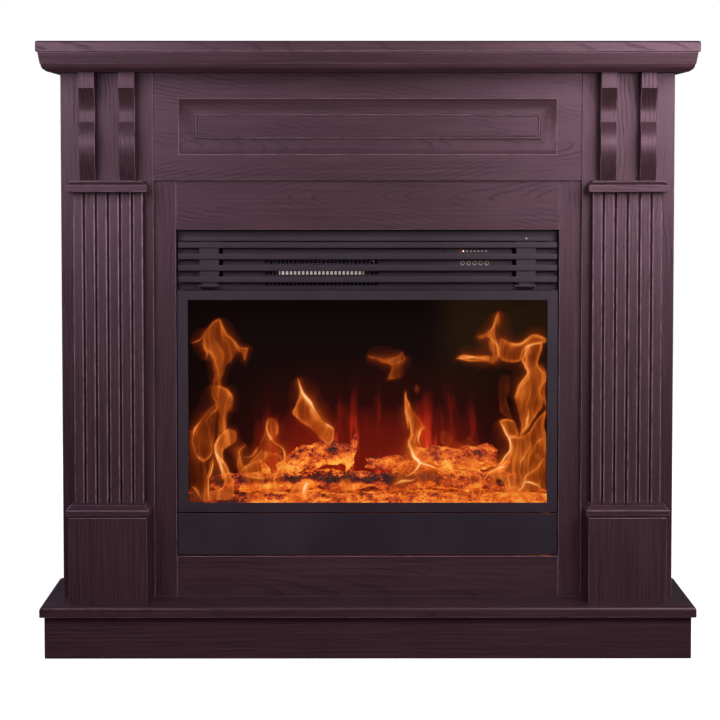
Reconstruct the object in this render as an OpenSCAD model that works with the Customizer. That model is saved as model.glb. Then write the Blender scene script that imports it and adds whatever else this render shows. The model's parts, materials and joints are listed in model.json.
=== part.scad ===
// Electric fireplace: a wooden mantel surround with a steel fire insert.
// Origin: centre of the footprint, on the floor. X to the right, -Y is the front, Z up.
// Depths are counted from the front edge of the hearth board and turned into Y by at().

/* [Mantel and cornice] */
// Thickness of the mantel shelf
shelf_t = 17; // [14:1:20]
// How far the shelf and the hearth stand out past the sides of the body
side_overhang = 30; // [26:1:36]
// Height of the moulded board under the shelf
cornice_t = 30; // [24:1:32]

/* [Front boards] */
// Thickness of the boards of the surround
board_t = 18; // [16:1:20]
// Height of the frieze board
frieze_h = 169; // [160:1:190]
// Height of the rail over the insert
top_rail_h = 78; // [70:1:90]
// Height of the rail under the insert
bottom_rail_h = 66; // [60:1:80]
// Width of the stiles beside the insert
stile_w = 34.5; // [30:0.5:45]
// Width of the boards behind the pilasters
pilaster_board_w = 146; // [144:1:154]

/* [Insert opening] */
// Width of the opening for the insert
opening_w = 607; // [603:1:611]
// Height of the opening for the insert
opening_h = 520; // [516:1:524]

/* [Pilasters] */
// Width of the fluted panel
flute_panel_w = 113; // [108:1:118]
// Number of ribs on the fluted panel
ribs = 6; // [4:1:8]
// Width of a groove between two ribs, at its floor
groove_w = 2; // [1.5:0.1:2.4]
// Depth of the grooves
groove_depth = 5; // [4:0.5:6]
// Radius of the rounded edges of a rib
rib_edge_r = 3.2; // [2.4:0.2:3.6]
// Width of the plain block under a fluted panel
block_w = 123; // [120:1:126]
// Height of the plain block
block_h = 136; // [120:2:150]
// Width of a corbel
corbel_w = 25.5; // [22:0.5:28]
// Distance between the two corbels of a pilaster, centre to centre
corbel_pitch = 62.5; // [56:0.5:70]

/* [Hearth and plinth] */
// Thickness of the hearth board
hearth_t = 18; // [16:1:22]
// Radius of the rounded top edge of the hearth board
hearth_edge_r = 6.5; // [4:0.5:8]
// Height of the plinth under the hearth board
plinth_h = 66; // [60:1:80]
// Overall depth, from the hearth's front edge to the back
overall_d = 320; // [320:1:340]

/* [Steel insert] */
// Thickness of the sheet steel
sheet_t = 1.5; // [1.2:0.1:1.6]
// Thickness of the glass
glass_t = 4; // [3:0.5:4]
// Width of the side strips of the glass frame
frame_side_w = 16.5; // [15:0.5:18]
// Height of the top and bottom strips of the glass frame
frame_rail_h = 15; // [13:0.5:17]
// Height of the plain plate under the glass
lower_trim_h = 66; // [60:1:70]
// Height of the glass frame
glass_frame_h = 353.5; // [350:0.5:355]

/* [Louvre] */
// Height of a louvre blade
blade_h = 9; // [8:0.5:9.5]
// Distance between blades, centre to centre
blade_pitch = 18.2; // [17.5:0.1:18.5]
// Width of the two straps that carry the blades
strap_w = 31; // [28:1:32]

/* [Controls] */
// Distance between buttons, centre to centre
button_pitch = 9.6; // [9.6:0.1:10.2]
// Radius of a button
button_r = 4; // [3.6:0.1:4]
// Travel of a button
button_travel = 1.5; // [1:0.1:1.5]

/* [Fans and rotors] */
// Outer radius of the blower wheel
wheel_r = 20; // [18:1:21]
// Number of blower vanes
vanes = 20; // [12:1:24]
// Number of paddle sets along the flicker rod
paddle_sets = 12; // [8:1:14]

/* [Hidden] */
$fn = 48;

// A hair's breadth past a face, so that cuts go right through
eps = 0.05;
// Points on each quarter round
arc_steps = 5;

// Heights
z_hearth = plinth_h;
z_floor = z_hearth + hearth_t;
z_open = z_floor + bottom_rail_h;
z_open_top = z_open + opening_h;
z_frieze = z_open_top + top_rail_h;
z_cornice = z_frieze + frieze_h;
z_shelf = z_cornice + cornice_t;

// Half widths
open_half = opening_w / 2;
frame_half = open_half + stile_w;
body_half = frame_half + pilaster_board_w;
shelf_half = body_half + side_overhang;
plinth_half = shelf_half - 7;

// Depths behind the hearth's front edge
plinth_front_d = 10;
block_front_d = 32;
corbel_front_d = 44;
cap_front_d = 38;
flute_front_d = 68;
pilaster_front_d = 90;
frieze_front_d = 93;
frame_front_d = 101;
insert_front_d = 105;
casing_front_d = 126;
casing_back_d = 288.5;

// Pilaster stack
pilaster_x = frame_half + pilaster_board_w / 2 - 2.5;
cap_half = block_w / 2 + 1.5;
nose_half = block_w / 2 + 4;
moulding_h = 19;
cap_h = 18;
z_block_top = z_floor + block_h;
z_flute = z_block_top + moulding_h;
z_cap = z_frieze - cap_h;

// Insert, from the bottom up
gap = 2;
face_half = open_half - 1.5;
casing_half = open_half - 10;
z_trim = z_open + gap;
z_glass_frame = z_trim + lower_trim_h + gap;
z_glass_frame_top = z_glass_frame + glass_frame_h;
z_deck = z_glass_frame_top + gap;
z_casing_top = z_open_top - 8;
hinge_d = 112;
hinge_z = z_glass_frame_top + 7;
pin_r = 1.5;
knuckle_r = 3;
running_gap = 0.05;
blade_front_d = 107;
blade_t = 3.5;
blades = 4;
z_first_blade = hinge_z + 6;
strap_x = 251.5;
strap_t = 1.5;

// Controls
panel_x = 167;
panel_w = 84;
panel_h = 38;
panel_t = 3;
z_panel = hinge_z + 26;
z_buttons = z_panel + 10;
z_lights = z_panel + 29;
first_button_x = panel_x + 3.3 - 2 * button_pitch;
lights = 7;
light_pitch = 6;
light_r = 1.1;
window_margin = 5;
fascia_d = casing_front_d - sheet_t;
board_d = 131.5;

// Warm air outlet and blower
outlet_x0 = -165;
outlet_w = 183;
outlet_rows = 5;
outlet_pitch_x = 6.45;
outlet_pitch_z = 8.5;
slot_w = 3.8;
slot_h = 5.6;
outlet_margin = 5;
z_outlet = hinge_z - 1;
outlet_h = outlet_rows * outlet_pitch_z;
blower_d = 178;
blower_z = z_deck + 38;
wheel_len = 155;
wheel_x0 = outlet_x0 + 14;
scroll_r = wheel_r + 4;
shaft_r = 3;
end_plate_t = 2;
motor_r = 23;
motor_len = 34;

// Flame effect
rod_d = 252;
rod_z = z_glass_frame - 20;
rod_r = 2.5;
paddle_r = 17;
flicker_motor_r = 24;
flicker_motor_len = 20;
screen_d = 212;
screen_t = 3;
bed_front_d = 124;
bed_back_d = 209;
z_bed = z_glass_frame + 24;

// Cover screws
screw_hole_r = 1.8;
screw_r = 1.6;
screw_head_r = 3.5;
screw_head_h = 2.2;
screw_len = 5;
screw_in = 8;

// Cord inlet
gland_x = 230;
gland_z = z_open + 40;
gland_bore_r = 4.2;
gland_body_r = 8;

function at(depth) = depth - overall_d / 2;
function quarter(cx, cz, r, from) =
    [for (i = [0:arc_steps]) let (a = from + 90 * i / arc_steps) [cx + r * cos(a), cz + r * sin(a)]];
function flipped(list) = [for (i = [len(list) - 1:-1:0]) list[i]];

module dark_oak() { color([0.30, 0.22, 0.24]) children(); }
module black_steel() { color([0.16, 0.14, 0.16]) children(); }
module bare_steel() { color([0.62, 0.63, 0.65]) children(); }
module black_plastic() { color([0.09, 0.09, 0.10]) children(); }

// A block between two corners: x and z as given, y by depth
module slab(x0, x1, d0, d1, z0, z1) {
    translate([x0, at(d0), z0]) cube([x1 - x0, d1 - d0, z1 - z0]);
}

// Outline in (depth, z) run along X
module run_x(x0, x1) {
    translate([x0, -overall_d / 2, 0]) rotate([90, 0, 90]) linear_extrude(x1 - x0) children();
}

// Outline in (x, z) run along Y
module run_y(d0, d1) {
    translate([0, at(d1), 0]) rotate([90, 0, 0]) linear_extrude(d1 - d0) children();
}

// A board whose left, front and right edges share one moulded edge, flat at the back.
// edge is a list of [inset, z] from the bottom to the top.
module edged_board(x_mid, half, d0, d1, edge) {
    last = edge[len(edge) - 1];
    intersection() {
        run_y(d0 - 1, d1) polygon(concat(
            [for (p = edge) [x_mid + half - p[0], p[1]]],
            flipped([for (p = edge) [x_mid - half + p[0], p[1]]])));
        run_x(x_mid - half - 1, x_mid + half + 1) polygon(concat(
            [for (p = edge) [d0 + p[0], p[1]]],
            [[d1, last[1]], [d1, edge[0][1]]]));
    }
}

// A rectangle at the face that narrows by bevel towards the back, with mitred corners
module bevelled_block(half, z0, z1, d0, d1, bevel) {
    intersection() {
        run_x(-half, half) polygon([[d0, z0], [d1, z0 + bevel], [d1, z1 - bevel], [d0, z1]]);
        translate([0, 0, z0]) linear_extrude(z1 - z0) polygon([
            [-half, at(d0)], [half, at(d0)], [half - bevel, at(d1)], [-half + bevel, at(d1)]]);
    }
}

// A round bar along X
module bar_x(x0, x1, d, z, r) {
    translate([x0, at(d), z]) rotate([0, 90, 0]) cylinder(h = x1 - x0, r = r);
}

// A round bar along Y
module bar_y(x, d0, d1, z, r) {
    translate([x, at(d1), z]) rotate([90, 0, 0]) cylinder(h = d1 - d0, r = r);
}

// ---- Mantel ----

module mantel_shelf() {
    top_r = 3;
    arris = 1.2;
    z_top = z_shelf + shelf_t;
    edge = concat([[arris, z_shelf], [0, z_shelf + arris]],
        [for (p = quarter(0, z_top - top_r, top_r, 0)) [top_r - p[0], p[1]]]);
    dark_oak() edged_board(0, shelf_half, 0, overall_d, edge);
}

module cornice_board() {
    step_in = 3.5;
    splay = 3;
    quirk = 1;
    fillet_h = 2.5;
    ovolo_r = 10;
    lip = 1.5;
    face_in = step_in + splay + quirk;
    z_quirk = z_cornice + lip + ovolo_r;
    edge = concat([[face_in + ovolo_r - lip, z_cornice]],
        [for (i = [1:arc_steps]) let (a = 90 * i / arc_steps)
            [face_in + ovolo_r - lip - (ovolo_r - lip) * sin(a), z_quirk - ovolo_r * cos(a)]],
        [[face_in - quirk, z_quirk], [step_in, z_shelf - fillet_h], [step_in, z_shelf]]);
    dark_oak() edged_board(0, shelf_half, 0, overall_d, edge);
}

// ---- Frieze ----

module frieze_board() {
    panel_half = open_half - 5;
    border = 41;
    border_top = 40;
    ground_depth = 5;
    outer_bevel = 12;
    field_half = panel_half - 25.5;
    field_border = 24;
    field_rise = 3.5;
    field_bevel = 1.5;
    groove_in = 3.4;
    bead_w = 1.7;
    groove_cut = 2;
    inside = groove_in + bead_w;
    face = frieze_front_d;
    z0 = z_frieze + border;
    z1 = z_cornice - border_top;
    ground = face + ground_depth;
    field = ground - field_rise;
    field_z0 = z0 + field_border;
    field_z1 = z1 - field_border;
    dark_oak() difference() {
        slab(-frame_half, frame_half, face, face + board_t, z_frieze, z_cornice);
        difference() {
            bevelled_block(panel_half + eps, z0 - eps, z1 + eps, face - eps, ground, outer_bevel);
            difference() {
                bevelled_block_out(field_half, field_z0, field_z1, field, ground + 1, field_bevel);
                difference() {
                    slab(-field_half + groove_in, field_half - groove_in, field - 1, field + groove_cut,
                        field_z0 + groove_in, field_z1 - groove_in);
                    slab(-field_half + inside, field_half - inside, field - 2, field + groove_cut + 1,
                        field_z0 + inside, field_z1 - inside);
                }
            }
        }
    }
}

// As bevelled_block, but with the narrow side at the face, and a straight part behind the bevel
module bevelled_block_out(half, z0, z1, d0, d1, bevel) {
    intersection() {
        run_x(-half, half) polygon([[d0, z0 + bevel], [d0 + bevel, z0], [d1, z0],
            [d1, z1], [d0 + bevel, z1], [d0, z1 - bevel]]);
        translate([0, 0, z0]) linear_extrude(z1 - z0) polygon([
            [-half + bevel, at(d0)], [half - bevel, at(d0)], [half, at(d0 + bevel)], [half, at(d1)],
            [-half, at(d1)], [-half, at(d0 + bevel)]]);
    }
}

// ---- Pilasters ----

module pilaster_board(side) {
    x0 = side > 0 ? frame_half : -body_half;
    dark_oak() slab(x0, x0 + pilaster_board_w, pilaster_front_d, pilaster_front_d + board_t,
        z_floor, z_cornice);
}

// How far the corbel stands out of the pilaster board at each of its turning heights,
// given as [height below the cornice, stand-out]. Quarter waves join them: a hollow under the block,
// a flat, the rise of the nose, and its fall to the foot.
corbel_turns = [[25, 43], [62, 28], [77, 28.5], [114, 39], [169, 24]];
corbel_step = 6;
corbel_nose = 3;
function corbel_share(k, t) = k < corbel_nose ? sin(90 * t) : 1 - cos(90 * t);

module corbel(side, place) {
    block_h = corbel_turns[0][0];
    stand_out = pilaster_front_d - corbel_front_d;
    curve = [for (k = [0:len(corbel_turns) - 2]) let (a = corbel_turns[k], b = corbel_turns[k + 1])
        for (i = [0:corbel_step - 1]) let (t = i / corbel_step)
            [a[1] + (b[1] - a[1]) * corbel_share(k, t), a[0] + (b[0] - a[0]) * t]];
    x_mid = side * (pilaster_x + place * corbel_pitch / 2);
    last = corbel_turns[len(corbel_turns) - 1];
    dark_oak() run_x(x_mid - corbel_w / 2, x_mid + corbel_w / 2) polygon(concat(
        [[pilaster_front_d, z_cornice], [pilaster_front_d - stand_out, z_cornice],
         [pilaster_front_d - stand_out, z_cornice - block_h]],
        [for (p = curve) [pilaster_front_d - p[0], z_cornice - p[1]]],
        [[pilaster_front_d - last[1], z_frieze], [pilaster_front_d, z_frieze]]));
}

module pilaster_cap(side) {
    arris = 1.2;
    band_top = 11.5;
    cove_in = 6;
    fillet_h = 2;
    edge = [[arris, z_cap], [0, z_cap + arris], [0, z_cap + band_top], [2, z_cap + band_top + 0.6],
        [cove_in - 1, z_frieze - fillet_h - 1.4], [cove_in, z_frieze - fillet_h], [cove_in, z_frieze]];
    dark_oak() edged_board(side * pilaster_x, cap_half, cap_front_d, pilaster_front_d, edge);
}

module base_moulding(side) {
    under_in = 4;
    nose_low = 3;
    nose_top = 11;
    top_in = nose_half - flute_panel_w / 2 - 1.5;
    edge = [[under_in, z_block_top], [0, z_block_top + nose_low], [0, z_block_top + nose_top],
        [1.2, z_block_top + nose_top + 1.6], [top_in, z_flute]];
    dark_oak() edged_board(side * pilaster_x, nose_half, block_front_d - under_in, pilaster_front_d, edge);
}

module plinth_block(side) {
    arris = 1;
    edge = [[0, z_floor], [0, z_block_top - arris], [arris, z_block_top]];
    dark_oak() edged_board(side * pilaster_x, block_w / 2, block_front_d, pilaster_front_d, edge);
}

// The ribs are flat with rounded edges; the grooves between them have a flat floor
module fluted_panel(side) {
    pitch = flute_panel_w / ribs;
    rib_half = (pitch - groove_w) / 2;
    face = at(flute_front_d);
    floor_y = face + groove_depth;
    back = at(pilaster_front_d);
    x0 = side * pilaster_x - flute_panel_w / 2;
    outline = [for (k = [0:ribs - 1]) let (mid = x0 + (k + 0.5) * pitch, in = rib_half - rib_edge_r)
        for (p = concat([[mid - rib_half, floor_y]],
            [for (q = flipped(quarter(0, 0, rib_edge_r, 90))) [mid - in + q[0], face + rib_edge_r - q[1]]],
            [for (q = flipped(quarter(0, 0, rib_edge_r, 0))) [mid + in + q[0], face + rib_edge_r - q[1]]],
            [[mid + rib_half, floor_y]])) p];
    right = x0 + flute_panel_w - groove_w / 2;
    left = x0 + groove_w / 2;
    dark_oak() translate([0, 0, z_flute]) linear_extrude(z_cap - z_flute)
        polygon(concat(outline, [[right, back], [left, back]]));
}

// ---- Frame round the insert ----

module stile(side) {
    x0 = side > 0 ? open_half : -frame_half;
    dark_oak() slab(x0, x0 + stile_w, frame_front_d, frame_front_d + board_t, z_floor, z_frieze);
}

module top_rail() {
    dark_oak() slab(-open_half, open_half, frame_front_d, frame_front_d + board_t, z_open_top, z_frieze);
}

module bottom_rail() {
    dark_oak() slab(-open_half, open_half, frame_front_d, frame_front_d + board_t, z_floor, z_open);
}

// ---- Carcass and hearth ----

module side_panel(side) {
    x0 = side > 0 ? body_half - board_t : -body_half;
    dark_oak() slab(x0, x0 + board_t, pilaster_front_d + board_t, overall_d, z_floor, z_cornice);
}

module hearth_board() {
    edge = concat([[1, z_hearth], [0, z_hearth + 1]],
        [for (p = quarter(0, z_floor - hearth_edge_r, hearth_edge_r, 0)) [hearth_edge_r - p[0], p[1]]]);
    dark_oak() edged_board(0, shelf_half, 0, overall_d, edge);
}

module plinth_front() {
    dark_oak() slab(-plinth_half, plinth_half, plinth_front_d, plinth_front_d + board_t, 0, plinth_h);
}

module plinth_side(side) {
    x0 = side > 0 ? plinth_half - board_t : -plinth_half;
    dark_oak() slab(x0, x0 + board_t, plinth_front_d + board_t, overall_d, 0, plinth_h);
}

module back_battens() {
    batten_h = 60;
    half = body_half - board_t;
    dark_oak() {
        slab(-half, half, overall_d - board_t, overall_d, z_cornice - batten_h, z_cornice);
        slab(-half, half, overall_d - board_t, overall_d, z_floor, z_floor + batten_h);
    }
}

module insert_shelf() {
    half = body_half - board_t;
    dark_oak() slab(-half, half, frame_front_d + board_t, overall_d - board_t, z_open - board_t, z_open);
}

// ---- Insert casing ----

// The four walls, the heater deck, the inward flange that the back cover screws to
// and the outward flange that closes the gap behind the opening's edges
module firebox_casing() {
    flange = 14;
    outer_half = casing_half + 16;
    outer_top = z_casing_top + 16;
    deck_flange = 8;
    z0 = z_open;
    inner = casing_half - sheet_t;
    black_steel() difference() {
        union() {
            slab(-casing_half, casing_half, casing_front_d, casing_back_d, z0, z_casing_top);
            slab(-outer_half, outer_half, casing_front_d, casing_front_d + sheet_t, z0, outer_top);
        }
        slab(-inner, inner, casing_front_d - 1, casing_back_d - sheet_t, z0 + sheet_t, z_deck - sheet_t);
        slab(-inner, inner, casing_front_d - 1, casing_back_d - sheet_t, z_deck, z_casing_top - sheet_t);
        slab(-inner + flange, inner - flange, casing_front_d, casing_back_d + 1,
            z0 + flange, z_deck - flange);
        slab(-inner + flange, inner - flange, casing_front_d, casing_back_d + 1,
            z_deck + deck_flange, z_casing_top - flange);
        bar_x(casing_half - 4, casing_half + 1, rod_d, rod_z, rod_r + running_gap);
        cover_screw_places() bar_y(0, casing_back_d - screw_len, casing_back_d + screw_len, 0, screw_hole_r);
    }
}

module cover_screw_places() {
    edge_x = casing_half - screw_in;
    for (x = [-edge_x, 0, edge_x], z = [z_open + screw_in, z_casing_top - screw_in])
        translate([x, 0, z]) children();
    for (x = [-edge_x, edge_x])
        translate([x, 0, (z_open + z_deck) / 2]) children();
}

module back_cover() {
    slots = 22;
    slot_pitch = 18;
    slot_half = 2.5;
    slot_len = 34;
    z_upper = z_deck + 26;
    z_lower = z_open + 60;
    clear_of_gland = gland_x - 30;
    black_steel() difference() {
        slab(-casing_half, casing_half, casing_back_d, casing_back_d + sheet_t, z_open, z_casing_top);
        for (i = [0:slots - 1], z = [z_upper, z_lower])
            let (x = (i - (slots - 1) / 2) * slot_pitch)
            if (z > z_deck || x < clear_of_gland)
                slab(x - slot_half, x + slot_half, casing_back_d - 1, casing_back_d + 3, z, z + slot_len);
        bar_y(gland_x, casing_back_d - 1, casing_back_d + 3, gland_z, gland_body_r + 0.2);
        cover_screw_places() bar_y(0, casing_back_d - screw_len, casing_back_d + screw_len, 0, screw_hole_r);
    }
}

module cover_screws() {
    bare_steel() cover_screw_places() {
        bar_y(0, casing_back_d + sheet_t, casing_back_d + sheet_t + screw_head_h, 0, screw_head_r);
        bar_y(0, casing_back_d - screw_len, casing_back_d + sheet_t + 1, 0, screw_r);
    }
}

// ---- Fascia, outlet and louvre ----

module fascia_panel() {
    slot_in = strap_x - strap_w / 2 - 2.5;
    slot_half = 3;
    window_half = panel_w / 2 - window_margin;
    window_top_in = window_margin - 2;
    black_steel() difference() {
        slab(-face_half, face_half, fascia_d, casing_front_d, z_deck, z_open_top - 1);
        slab(outlet_x0, outlet_x0 + outlet_w, fascia_d - 1, casing_front_d + 1,
            z_outlet, z_outlet + outlet_h);
        slab(panel_x - window_half, panel_x + window_half, fascia_d - 1, casing_front_d + 1,
            z_panel + window_top_in, z_panel + panel_h - window_top_in);
        for (side = [-1, 1])
            slab(side * slot_in - slot_half, side * slot_in + slot_half, fascia_d - 1, casing_front_d + 1,
                z_outlet + 4, z_open_top - 24);
    }
}

module outlet_grille() {
    columns = floor((outlet_w - 2) / outlet_pitch_x);
    x_mid = outlet_x0 + outlet_w / 2;
    plate_t = 1.2;
    black_steel() difference() {
        slab(outlet_x0 - outlet_margin, outlet_x0 + outlet_w + outlet_margin,
            casing_front_d, casing_front_d + plate_t, z_outlet - 3, z_outlet + outlet_h + outlet_margin);
        for (i = [0:columns - 1], k = [0:outlet_rows - 1])
            let (x = x_mid + (i - (columns - 1) / 2) * outlet_pitch_x,
                z = z_outlet + (k + 0.5) * outlet_pitch_z)
            slab(x - slot_w / 2, x + slot_w / 2, casing_front_d - 1, casing_front_d + 3,
                z - slot_h / 2, z + slot_h / 2);
    }
}

// One blade, with its front edges eased
module blade(half, z0, h) {
    ease = 0.8;
    d1 = blade_front_d + blade_t;
    run_x(-half, half) polygon([[blade_front_d + ease, z0], [d1, z0], [d1, z0 + h],
        [blade_front_d + ease, z0 + h], [blade_front_d, z0 + h - ease], [blade_front_d, z0 + ease]]);
}

// The blades, the shorter flange above them and the round head of its catch
module louvre_blades() {
    half = face_half - 1.5;
    flange_in = 8;
    flange_h = blade_h - 1;
    flange_gap = 1.5;
    catch_r = 2.3;
    catch_out = 1;
    z_flange = z_first_blade + (blades - 1) * blade_pitch + blade_h + flange_gap;
    black_steel() {
        for (i = [0:blades - 1]) blade(half, z_first_blade + i * blade_pitch, blade_h);
        blade(half - flange_in, z_flange, flange_h);
        bar_y(strap_x, blade_front_d - catch_out, blade_front_d + eps, z_flange + flange_h / 2, catch_r);
    }
}

// Two straps behind the blades, each rolled into a knuckle round its hinge pin
module louvre_straps() {
    knuckle_half = strap_w / 2 - 3.5;
    z_top = z_first_blade + (blades - 1) * blade_pitch + 2 * blade_h;
    d0 = blade_front_d + blade_t;
    black_steel() for (side = [-1, 1]) difference() {
        union() {
            slab(side * strap_x - strap_w / 2, side * strap_x + strap_w / 2, d0, d0 + strap_t,
                hinge_z + 2, z_top);
            bar_x(side * strap_x - knuckle_half, side * strap_x + knuckle_half, hinge_d, hinge_z, knuckle_r);
        }
        bar_x(side * strap_x - strap_w, side * strap_x + strap_w, hinge_d, hinge_z, pin_r + running_gap);
        for (end = [-1, 1]) let (x = side * strap_x + end * (knuckle_half + 2.25))
            slab(x - 2.25, x + 2.25, d0 - 1, d0 + strap_t + 1, hinge_z - 5, hinge_z + 4.5);
    }
}

// A foot on the fascia with one ear at each side of the knuckle
module hinge_brackets() {
    ear_t = 2;
    ear_half = strap_w / 2 - 3;
    foot_t = 1.5;
    black_steel() for (side = [-1, 1]) difference() {
        union() {
            for (end = [-1, 1]) let (x = side * strap_x + end * (ear_half + ear_t / 2)) {
                slab(x - ear_t / 2, x + ear_t / 2, hinge_d, fascia_d - foot_t / 2,
                    hinge_z - knuckle_r, hinge_z + knuckle_r);
                bar_x(x - ear_t / 2, x + ear_t / 2, hinge_d, hinge_z, knuckle_r);
            }
            slab(side * strap_x - ear_half - ear_t, side * strap_x + ear_half + ear_t,
                fascia_d - foot_t, fascia_d, hinge_z - knuckle_r, hinge_z + knuckle_r);
        }
        bar_x(side * strap_x - strap_w, side * strap_x + strap_w, hinge_d, hinge_z, pin_r + running_gap);
    }
}

module hinge_pins() {
    half = strap_w / 2;
    bare_steel() for (side = [-1, 1])
        bar_x(side * strap_x - half, side * strap_x + half, hinge_d, hinge_z, pin_r);
}

// ---- Glass, its frame and the lower trim ----

// Four strips of angle: the side strips run the full height
module glass_frame() {
    d0 = insert_front_d;
    d1 = casing_front_d;
    z0 = z_glass_frame;
    z1 = z_glass_frame_top;
    inner = face_half - frame_side_w;
    black_steel() {
        for (side = [-1, 1]) {
            a = min(side * face_half, side * inner);
            b = max(side * face_half, side * inner);
            edge = side > 0 ? b - sheet_t : a;
            slab(a, b, d0, d0 + sheet_t, z0, z1);
            slab(edge, edge + sheet_t, d0, d1, z0, z1);
        }
        for (end = [0, 1]) {
            z = end == 0 ? z0 : z1 - frame_rail_h;
            lip = end == 0 ? z0 : z1 - sheet_t;
            slab(-inner, inner, d0, d0 + sheet_t, z, z + frame_rail_h);
            slab(-inner, inner, d0, d1, lip, lip + sheet_t);
        }
    }
}

module glass_pane() {
    margin = 7;
    half = face_half - frame_side_w + margin;
    d0 = insert_front_d + sheet_t;
    color([0.05, 0.04, 0.04, 0.3]) slab(-half, half, d0, d0 + glass_t,
        z_glass_frame + frame_rail_h - margin, z_glass_frame_top - frame_rail_h + margin);
}

module lower_trim() {
    z1 = z_trim + lower_trim_h;
    black_steel() {
        slab(-face_half, face_half, insert_front_d, insert_front_d + sheet_t, z_trim, z1);
        slab(-face_half, face_half, insert_front_d, casing_front_d, z1 - sheet_t, z1);
    }
}

// ---- Controls ----

function button_x(i) = first_button_x + (i - 1) * button_pitch;
function light_x(i) = panel_x + 3.3 + (i - (lights - 1) / 2) * light_pitch;

module control_panel() {
    face = fascia_d - panel_t;
    black_plastic() difference() {
        slab(panel_x - panel_w / 2, panel_x + panel_w / 2, face, fascia_d, z_panel, z_panel + panel_h);
        for (i = [1:5]) bar_y(button_x(i), face - 1, fascia_d + 1, z_buttons, button_r + 0.3);
        for (i = [0:lights - 1]) bar_y(light_x(i), face - 1, fascia_d + 1, z_lights, light_r + running_gap);
    }
}

// A cap with a collar behind the panel, and a short stem towards its switch
module button(i) {
    face = fascia_d - panel_t - 2;
    collar_d = fascia_d + 0.1;
    black_plastic() {
        bar_y(button_x(i), face, collar_d + 1, z_buttons, button_r);
        bar_y(button_x(i), collar_d, collar_d + 1.2, z_buttons, button_r + 0.6);
        bar_y(button_x(i), collar_d + 1, collar_d + 3, z_buttons, 1.5);
    }
}

module indicator_lights() {
    color([0.85, 0.30, 0.18]) for (i = [0:lights - 1])
        bar_y(light_x(i), fascia_d - panel_t - 0.3, board_d, z_lights, light_r);
}

// The board, with one switch behind each button and two rails that screw to the fascia
module control_board() {
    half = panel_w / 2 - 4;
    rail_w = 3;
    color([0.10, 0.32, 0.16]) {
        slab(panel_x - half - 4, panel_x + half + 4, board_d, board_d + 1.6,
            z_panel - 2, z_panel + panel_h + 2);
        for (i = [1:5]) slab(button_x(i) - 2.5, button_x(i) + 2.5,
            fascia_d + 3.4 + button_travel, board_d + 0.5, z_buttons - 2.5, z_buttons + 2.5);
        for (side = [-1, 1]) let (x = panel_x + side * (half + 4 - rail_w / 2))
            slab(x - rail_w / 2, x + rail_w / 2, casing_front_d, board_d + 0.5, z_panel, z_panel + panel_h);
    }
}

// ---- Heater and blower ----

// A ceramic bar with cooling fins, carried by a bracket at each end
module heater_element() {
    half = 57.5;
    fins = 17;
    x_mid = outlet_x0 + outlet_w / 2;
    z_mid = z_outlet + 2.5 * outlet_pitch_z;
    d0 = casing_front_d + 5;
    color([0.86, 0.84, 0.80]) {
        slab(x_mid - half, x_mid + half, d0, d0 + 8, z_mid - 5, z_mid + 5);
        for (i = [0:fins - 1]) let (x = x_mid + (i - (fins - 1) / 2) * outlet_pitch_x)
            slab(x - 0.6, x + 0.6, d0 + 1, d0 + 12, z_mid - 11, z_mid + 11);
        for (side = [-1, 1]) let (x = x_mid + side * (half + 4)) {
            slab(x - 6, x + 6, d0 + 2, d0 + 5, z_mid - 5, z_mid + 5);
            slab(x - 3, x + 3, casing_front_d + 1.2, d0 + 5, z_mid - 5, z_mid + 5);
        }
    }
}

module blower_housing() {
    x1 = wheel_x0 + wheel_len + 3;
    x0 = wheel_x0 - 3;
    mouth_d = blower_d - 4;
    black_steel() {
        difference() {
            bar_x(x0, x1, blower_d, blower_z, scroll_r + sheet_t);
            bar_x(x0 - 1, x1 + 1, blower_d, blower_z, scroll_r);
            slab(x0 - 1, x1 + 1, blower_d - 2 * scroll_r, mouth_d,
                blower_z - 2 * scroll_r, blower_z + 2 * scroll_r);
        }
        slab(x0, x1, mouth_d - 30, mouth_d, blower_z + scroll_r - 0.5, blower_z + scroll_r + 1);
        for (x = [x0 - end_plate_t, x1]) difference() {
            union() {
                bar_x(x, x + end_plate_t, blower_d, blower_z, scroll_r + sheet_t);
                slab(x, x + end_plate_t, blower_d - 12, blower_d + 12, z_deck, blower_z);
            }
            bar_x(x - 1, x + end_plate_t + 1, blower_d, blower_z, shaft_r + running_gap);
        }
    }
}

module blower_wheel() {
    vane_w = 5;
    vane_t = 1;
    x1 = wheel_x0 + wheel_len;
    color([0.55, 0.56, 0.58]) {
        for (x = [wheel_x0, x1 - 2]) bar_x(x, x + 2, blower_d, blower_z, wheel_r);
        for (i = [0:vanes - 1]) translate([wheel_x0, at(blower_d), blower_z]) rotate([360 * i / vanes, 0, 0])
            translate([1, wheel_r - vane_w - 0.5, -vane_t / 2]) cube([wheel_len - 2, vane_w, vane_t]);
        bar_x(wheel_x0 - 24, x1 + 9, blower_d, blower_z, shaft_r);
    }
}

module blower_motor() {
    x1 = wheel_x0 - 3 - end_plate_t;
    bare_steel() difference() {
        union() {
            bar_x(x1 - motor_len, x1, blower_d, blower_z, motor_r);
            bar_x(x1 - motor_len - 4, x1 - motor_len + 1, blower_d, blower_z, 8);
        }
        bar_x(x1 - 24, x1 + 1, blower_d, blower_z, shaft_r + running_gap);
    }
}

// ---- Flame effect ----

module flame_screen() {
    half = casing_half - sheet_t - 0.5;
    color([0.30, 0.08, 0.04, 0.8]) slab(-half, half, screen_d, screen_d + screen_t,
        z_glass_frame + 8, z_deck - sheet_t - 0.5);
}

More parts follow.
